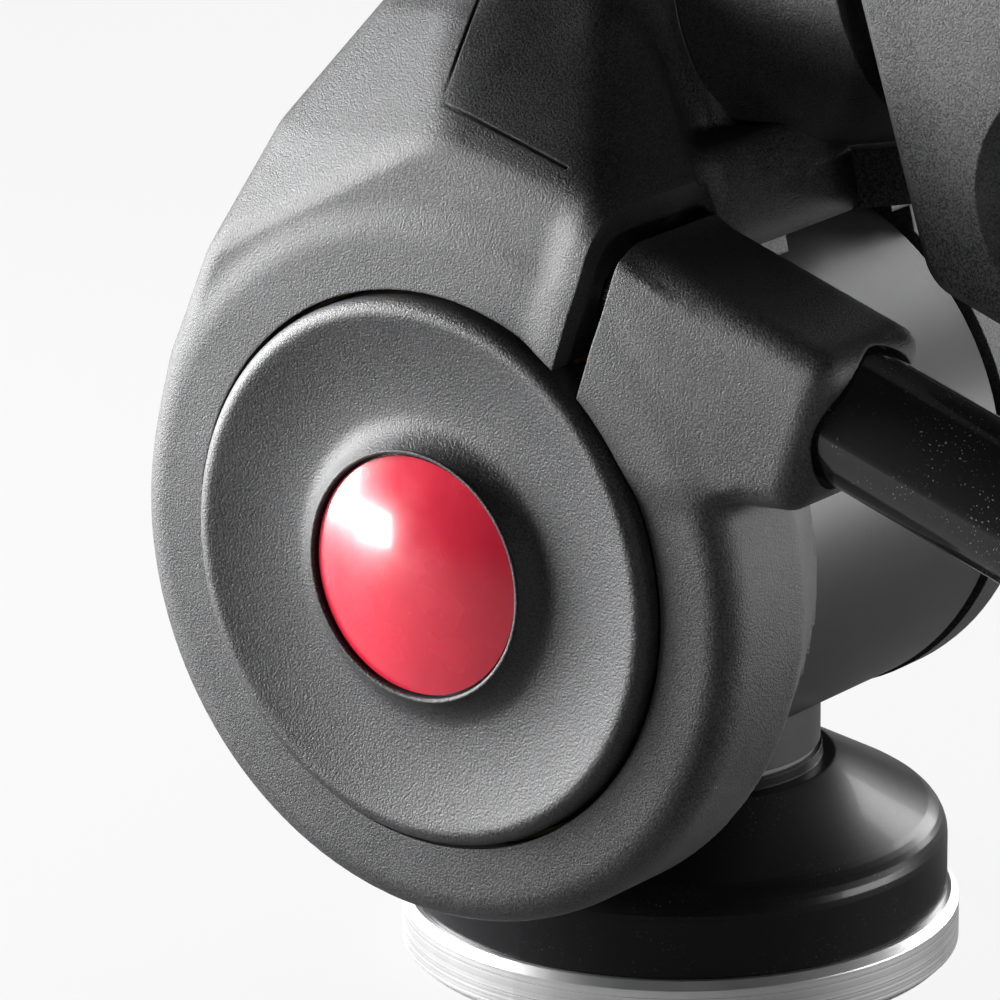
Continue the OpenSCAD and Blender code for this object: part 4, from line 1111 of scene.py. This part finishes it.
@dataclass
class SideTilt(Dresser):
    """Barrel and shaft that lean the platform, and the split clamp that holds them."""

    def build(self) -> None:
        """Dress the side tilt."""
        self.finish_nodes({
            "side_clamp": Shop.CLAMP_GREY, "side_liner": Shop.FRICTION, "side_nut": Shop.STEEL,
            "side_barrel": Shop.BARREL_BLACK, "side_shaft": Shop.STEEL, "shaft_nut": Shop.BLACK_STEEL,
        })


@dataclass
class Platform(Dresser):
    """Camera platform with the quick-release plate, bubble level and release lever."""

    def build(self) -> None:
        """Dress the platform."""
        self.finish_nodes({
            "platform": Shop.PLATFORM_BLACK, "platform_screws": Shop.BLACK_STEEL,
            "level_cup": Shop.KNOB_BLACK, "level_vial": Shop.VIAL,
            "release_pivot": Shop.STEEL, "release_lever": Shop.KNOB_BLACK,
            "quick_plate": Shop.PLATFORM_BLACK, "plate_pad": Shop.RUBBER, "camera_screw": Shop.STEEL,
        })


@dataclass(frozen=True)
class SoftBox:
    """Studio lamp that faces the head; a spread below 180 degrees is a lamp with a grid."""

    name: str
    place: tuple[float, float, float]
    size: tuple[float, float]
    level: float
    aim: tuple[float, float, float] = (0.0, 0.0, 55.0)
    spread: float = 180.0

    def hang(self) -> None:
        """Put the lamp up; its level is the brightness of a white card at the head."""
        place, aim = Vector(self.place) * MM, Vector(self.aim) * MM
        lamp = bpy.data.lights.new(self.name, "AREA")
        lamp.shape = "RECTANGLE"
        lamp.size, lamp.size_y = self.size[0] * MM, self.size[1] * MM
        lamp.spread = math.radians(self.spread)
        lamp.energy = self.level * math.pi ** 2 * (place - aim).length_squared * self.narrowing()
        holder = bpy.data.objects.new(self.name, lamp)
        turn = (place - aim).to_track_quat("Z", "Y").to_matrix().to_4x4()
        holder.matrix_world = Matrix.Translation(place) @ turn
        bpy.context.scene.collection.objects.link(holder)

    def narrowing(self) -> float:
        """Share of the power that a gridded lamp needs for the same level at the head."""
        if self.spread >= 180:
            return 1.0
        half = math.radians(self.spread) / 2
        return half - math.sin(half) * math.cos(half)


@dataclass
class Studio:
    """Floor, lamps and the camera at the portrait's angle."""

    azimuth: float = 37.15
    elevation: float = 17.57
    roll: float = -0.4
    lens: float = 265.86
    sensor: float = 36.0
    distance: float = 785.2
    target: tuple[float, float, float] = (0.0, 0.0, 40.0)
    offset: tuple[float, float] = (19.18, -8.81)
    lamps: tuple[SoftBox, ...] = (
        SoftBox("key_left", (125.0, -350.0, 120.0), (240.0, 240.0), 3.7),
        SoftBox("window_left", (240.0, -226.0, 26.0), (80.0, 44.0), 0.55, aim=(46.0, 0.0, 53.0)),
        SoftBox("right_low", (-260.0, 380.0, 48.0), (320.0, 84.0), 0.8),
        SoftBox("grid_right", (330.0, 470.0, 112.0), (70.0, 70.0), 2.6, aim=(16.0, 26.0, 92.0), spread=10.0),
        SoftBox("rear", (-560.0, 60.0, 240.0), (300.0, 300.0), 0.9),
    )
    floor_half: float = 3.0
    floor_tone: float = 0.26
    floor_glow: float = 0.9
    fill: float = 0.025

    def set_camera(self) -> None:
        """Place the camera."""
        az, el, roll = (math.radians(a) for a in (self.azimuth, self.elevation, self.roll))
        back = Vector((math.cos(el) * math.cos(az), math.cos(el) * math.sin(az), math.sin(el)))
        right = Vector((-math.sin(az), math.cos(az), 0))
        up = back.cross(right)
        across = math.cos(roll) * right + math.sin(roll) * up
        upward = math.cos(roll) * up - math.sin(roll) * right
        place = Vector(self.target) + back * self.distance - across * self.offset[0] - upward * self.offset[1]
        data = bpy.data.cameras.new("portrait")
        data.sensor_fit = "HORIZONTAL"
        data.sensor_width = self.sensor
        data.lens = self.lens
        data.clip_end = 20
        camera = bpy.data.objects.new("portrait", data)
        turn = Matrix((across, upward, back)).transposed().to_4x4()
        camera.matrix_world = Matrix.Translation(place * MM) @ turn
        bpy.context.scene.collection.objects.link(camera)
        bpy.context.scene.camera = camera

    def lay_floor(self) -> None:
        """Lay a plain pale floor that shows white to the camera and still takes a shadow."""
        half = self.floor_half
        floor = mesh_piece("floor", [(-half, -half, 0), (half, -half, 0), (half, half, 0), (-half, half, 0)],
                           [(0, 1, 2, 3)])
        sheet = NodeSheet("floor_white")
        rays = sheet.add("ShaderNodeLightPath")
        seen = sheet.math("MAXIMUM", rays.outputs["Is Camera Ray"], rays.outputs["Is Transmission Ray"])
        card = sheet.add("ShaderNodeBsdfDiffuse", {"Color": (*[self.floor_tone] * 3, 1)})
        glow = sheet.add("ShaderNodeEmission", {"Color": (1, 1, 1, 1), "Strength": 1.0})
        share = sheet.math("MULTIPLY", seen, self.floor_glow)
        mix = sheet.add("ShaderNodeMixShader", {0: share, 1: card.outputs[0], 2: glow.outputs[0]})
        sheet.add("ShaderNodeOutputMaterial", {"Surface": mix.outputs[0]})
        floor.data.materials.append(sheet.material)

    def light(self) -> None:
        """Hang the lamps and fill the world with a low even light."""
        for lamp in self.lamps:
            lamp.hang()
        world = bpy.data.worlds.new("studio")
        bpy.context.scene.world = world
        world.use_nodes = True
        tree = world.node_tree
        tree.nodes.clear()
        rays = tree.nodes.new("ShaderNodeLightPath")
        fill = tree.nodes.new("ShaderNodeBackground")
        fill.inputs["Color"].default_value = (*[self.fill] * 3, 1)
        white = tree.nodes.new("ShaderNodeBackground")
        white.inputs["Color"].default_value = (1, 1, 1, 1)
        mix = tree.nodes.new("ShaderNodeMixShader")
        out = tree.nodes.new("ShaderNodeOutputWorld")
        tree.links.new(rays.outputs["Is Camera Ray"], mix.inputs[0])
        tree.links.new(fill.outputs[0], mix.inputs[1])
        tree.links.new(white.outputs[0], mix.inputs[2])
        tree.links.new(mix.outputs[0], out.inputs["Surface"])
        bpy.context.scene.view_settings.view_transform = "Standard"

    def build(self) -> None:
        """Set up the camera, floor and light."""
        self.set_camera()
        self.lay_floor()
        self.light()


def main() -> None:
    """Build every sub-assembly in order, then the studio."""
    logging.basicConfig(level=logging.INFO, format="%(name)s %(message)s")
    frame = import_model()
    paint = Paintbox()
    for part in (PanBase, TiltDrum, ClampHousing, Levers, SideTilt, Platform):
        part(frame, paint).build()
        LOG.info("%s done", part.__name__)
    Studio().build()


if __name__ == "__main__":
    main()
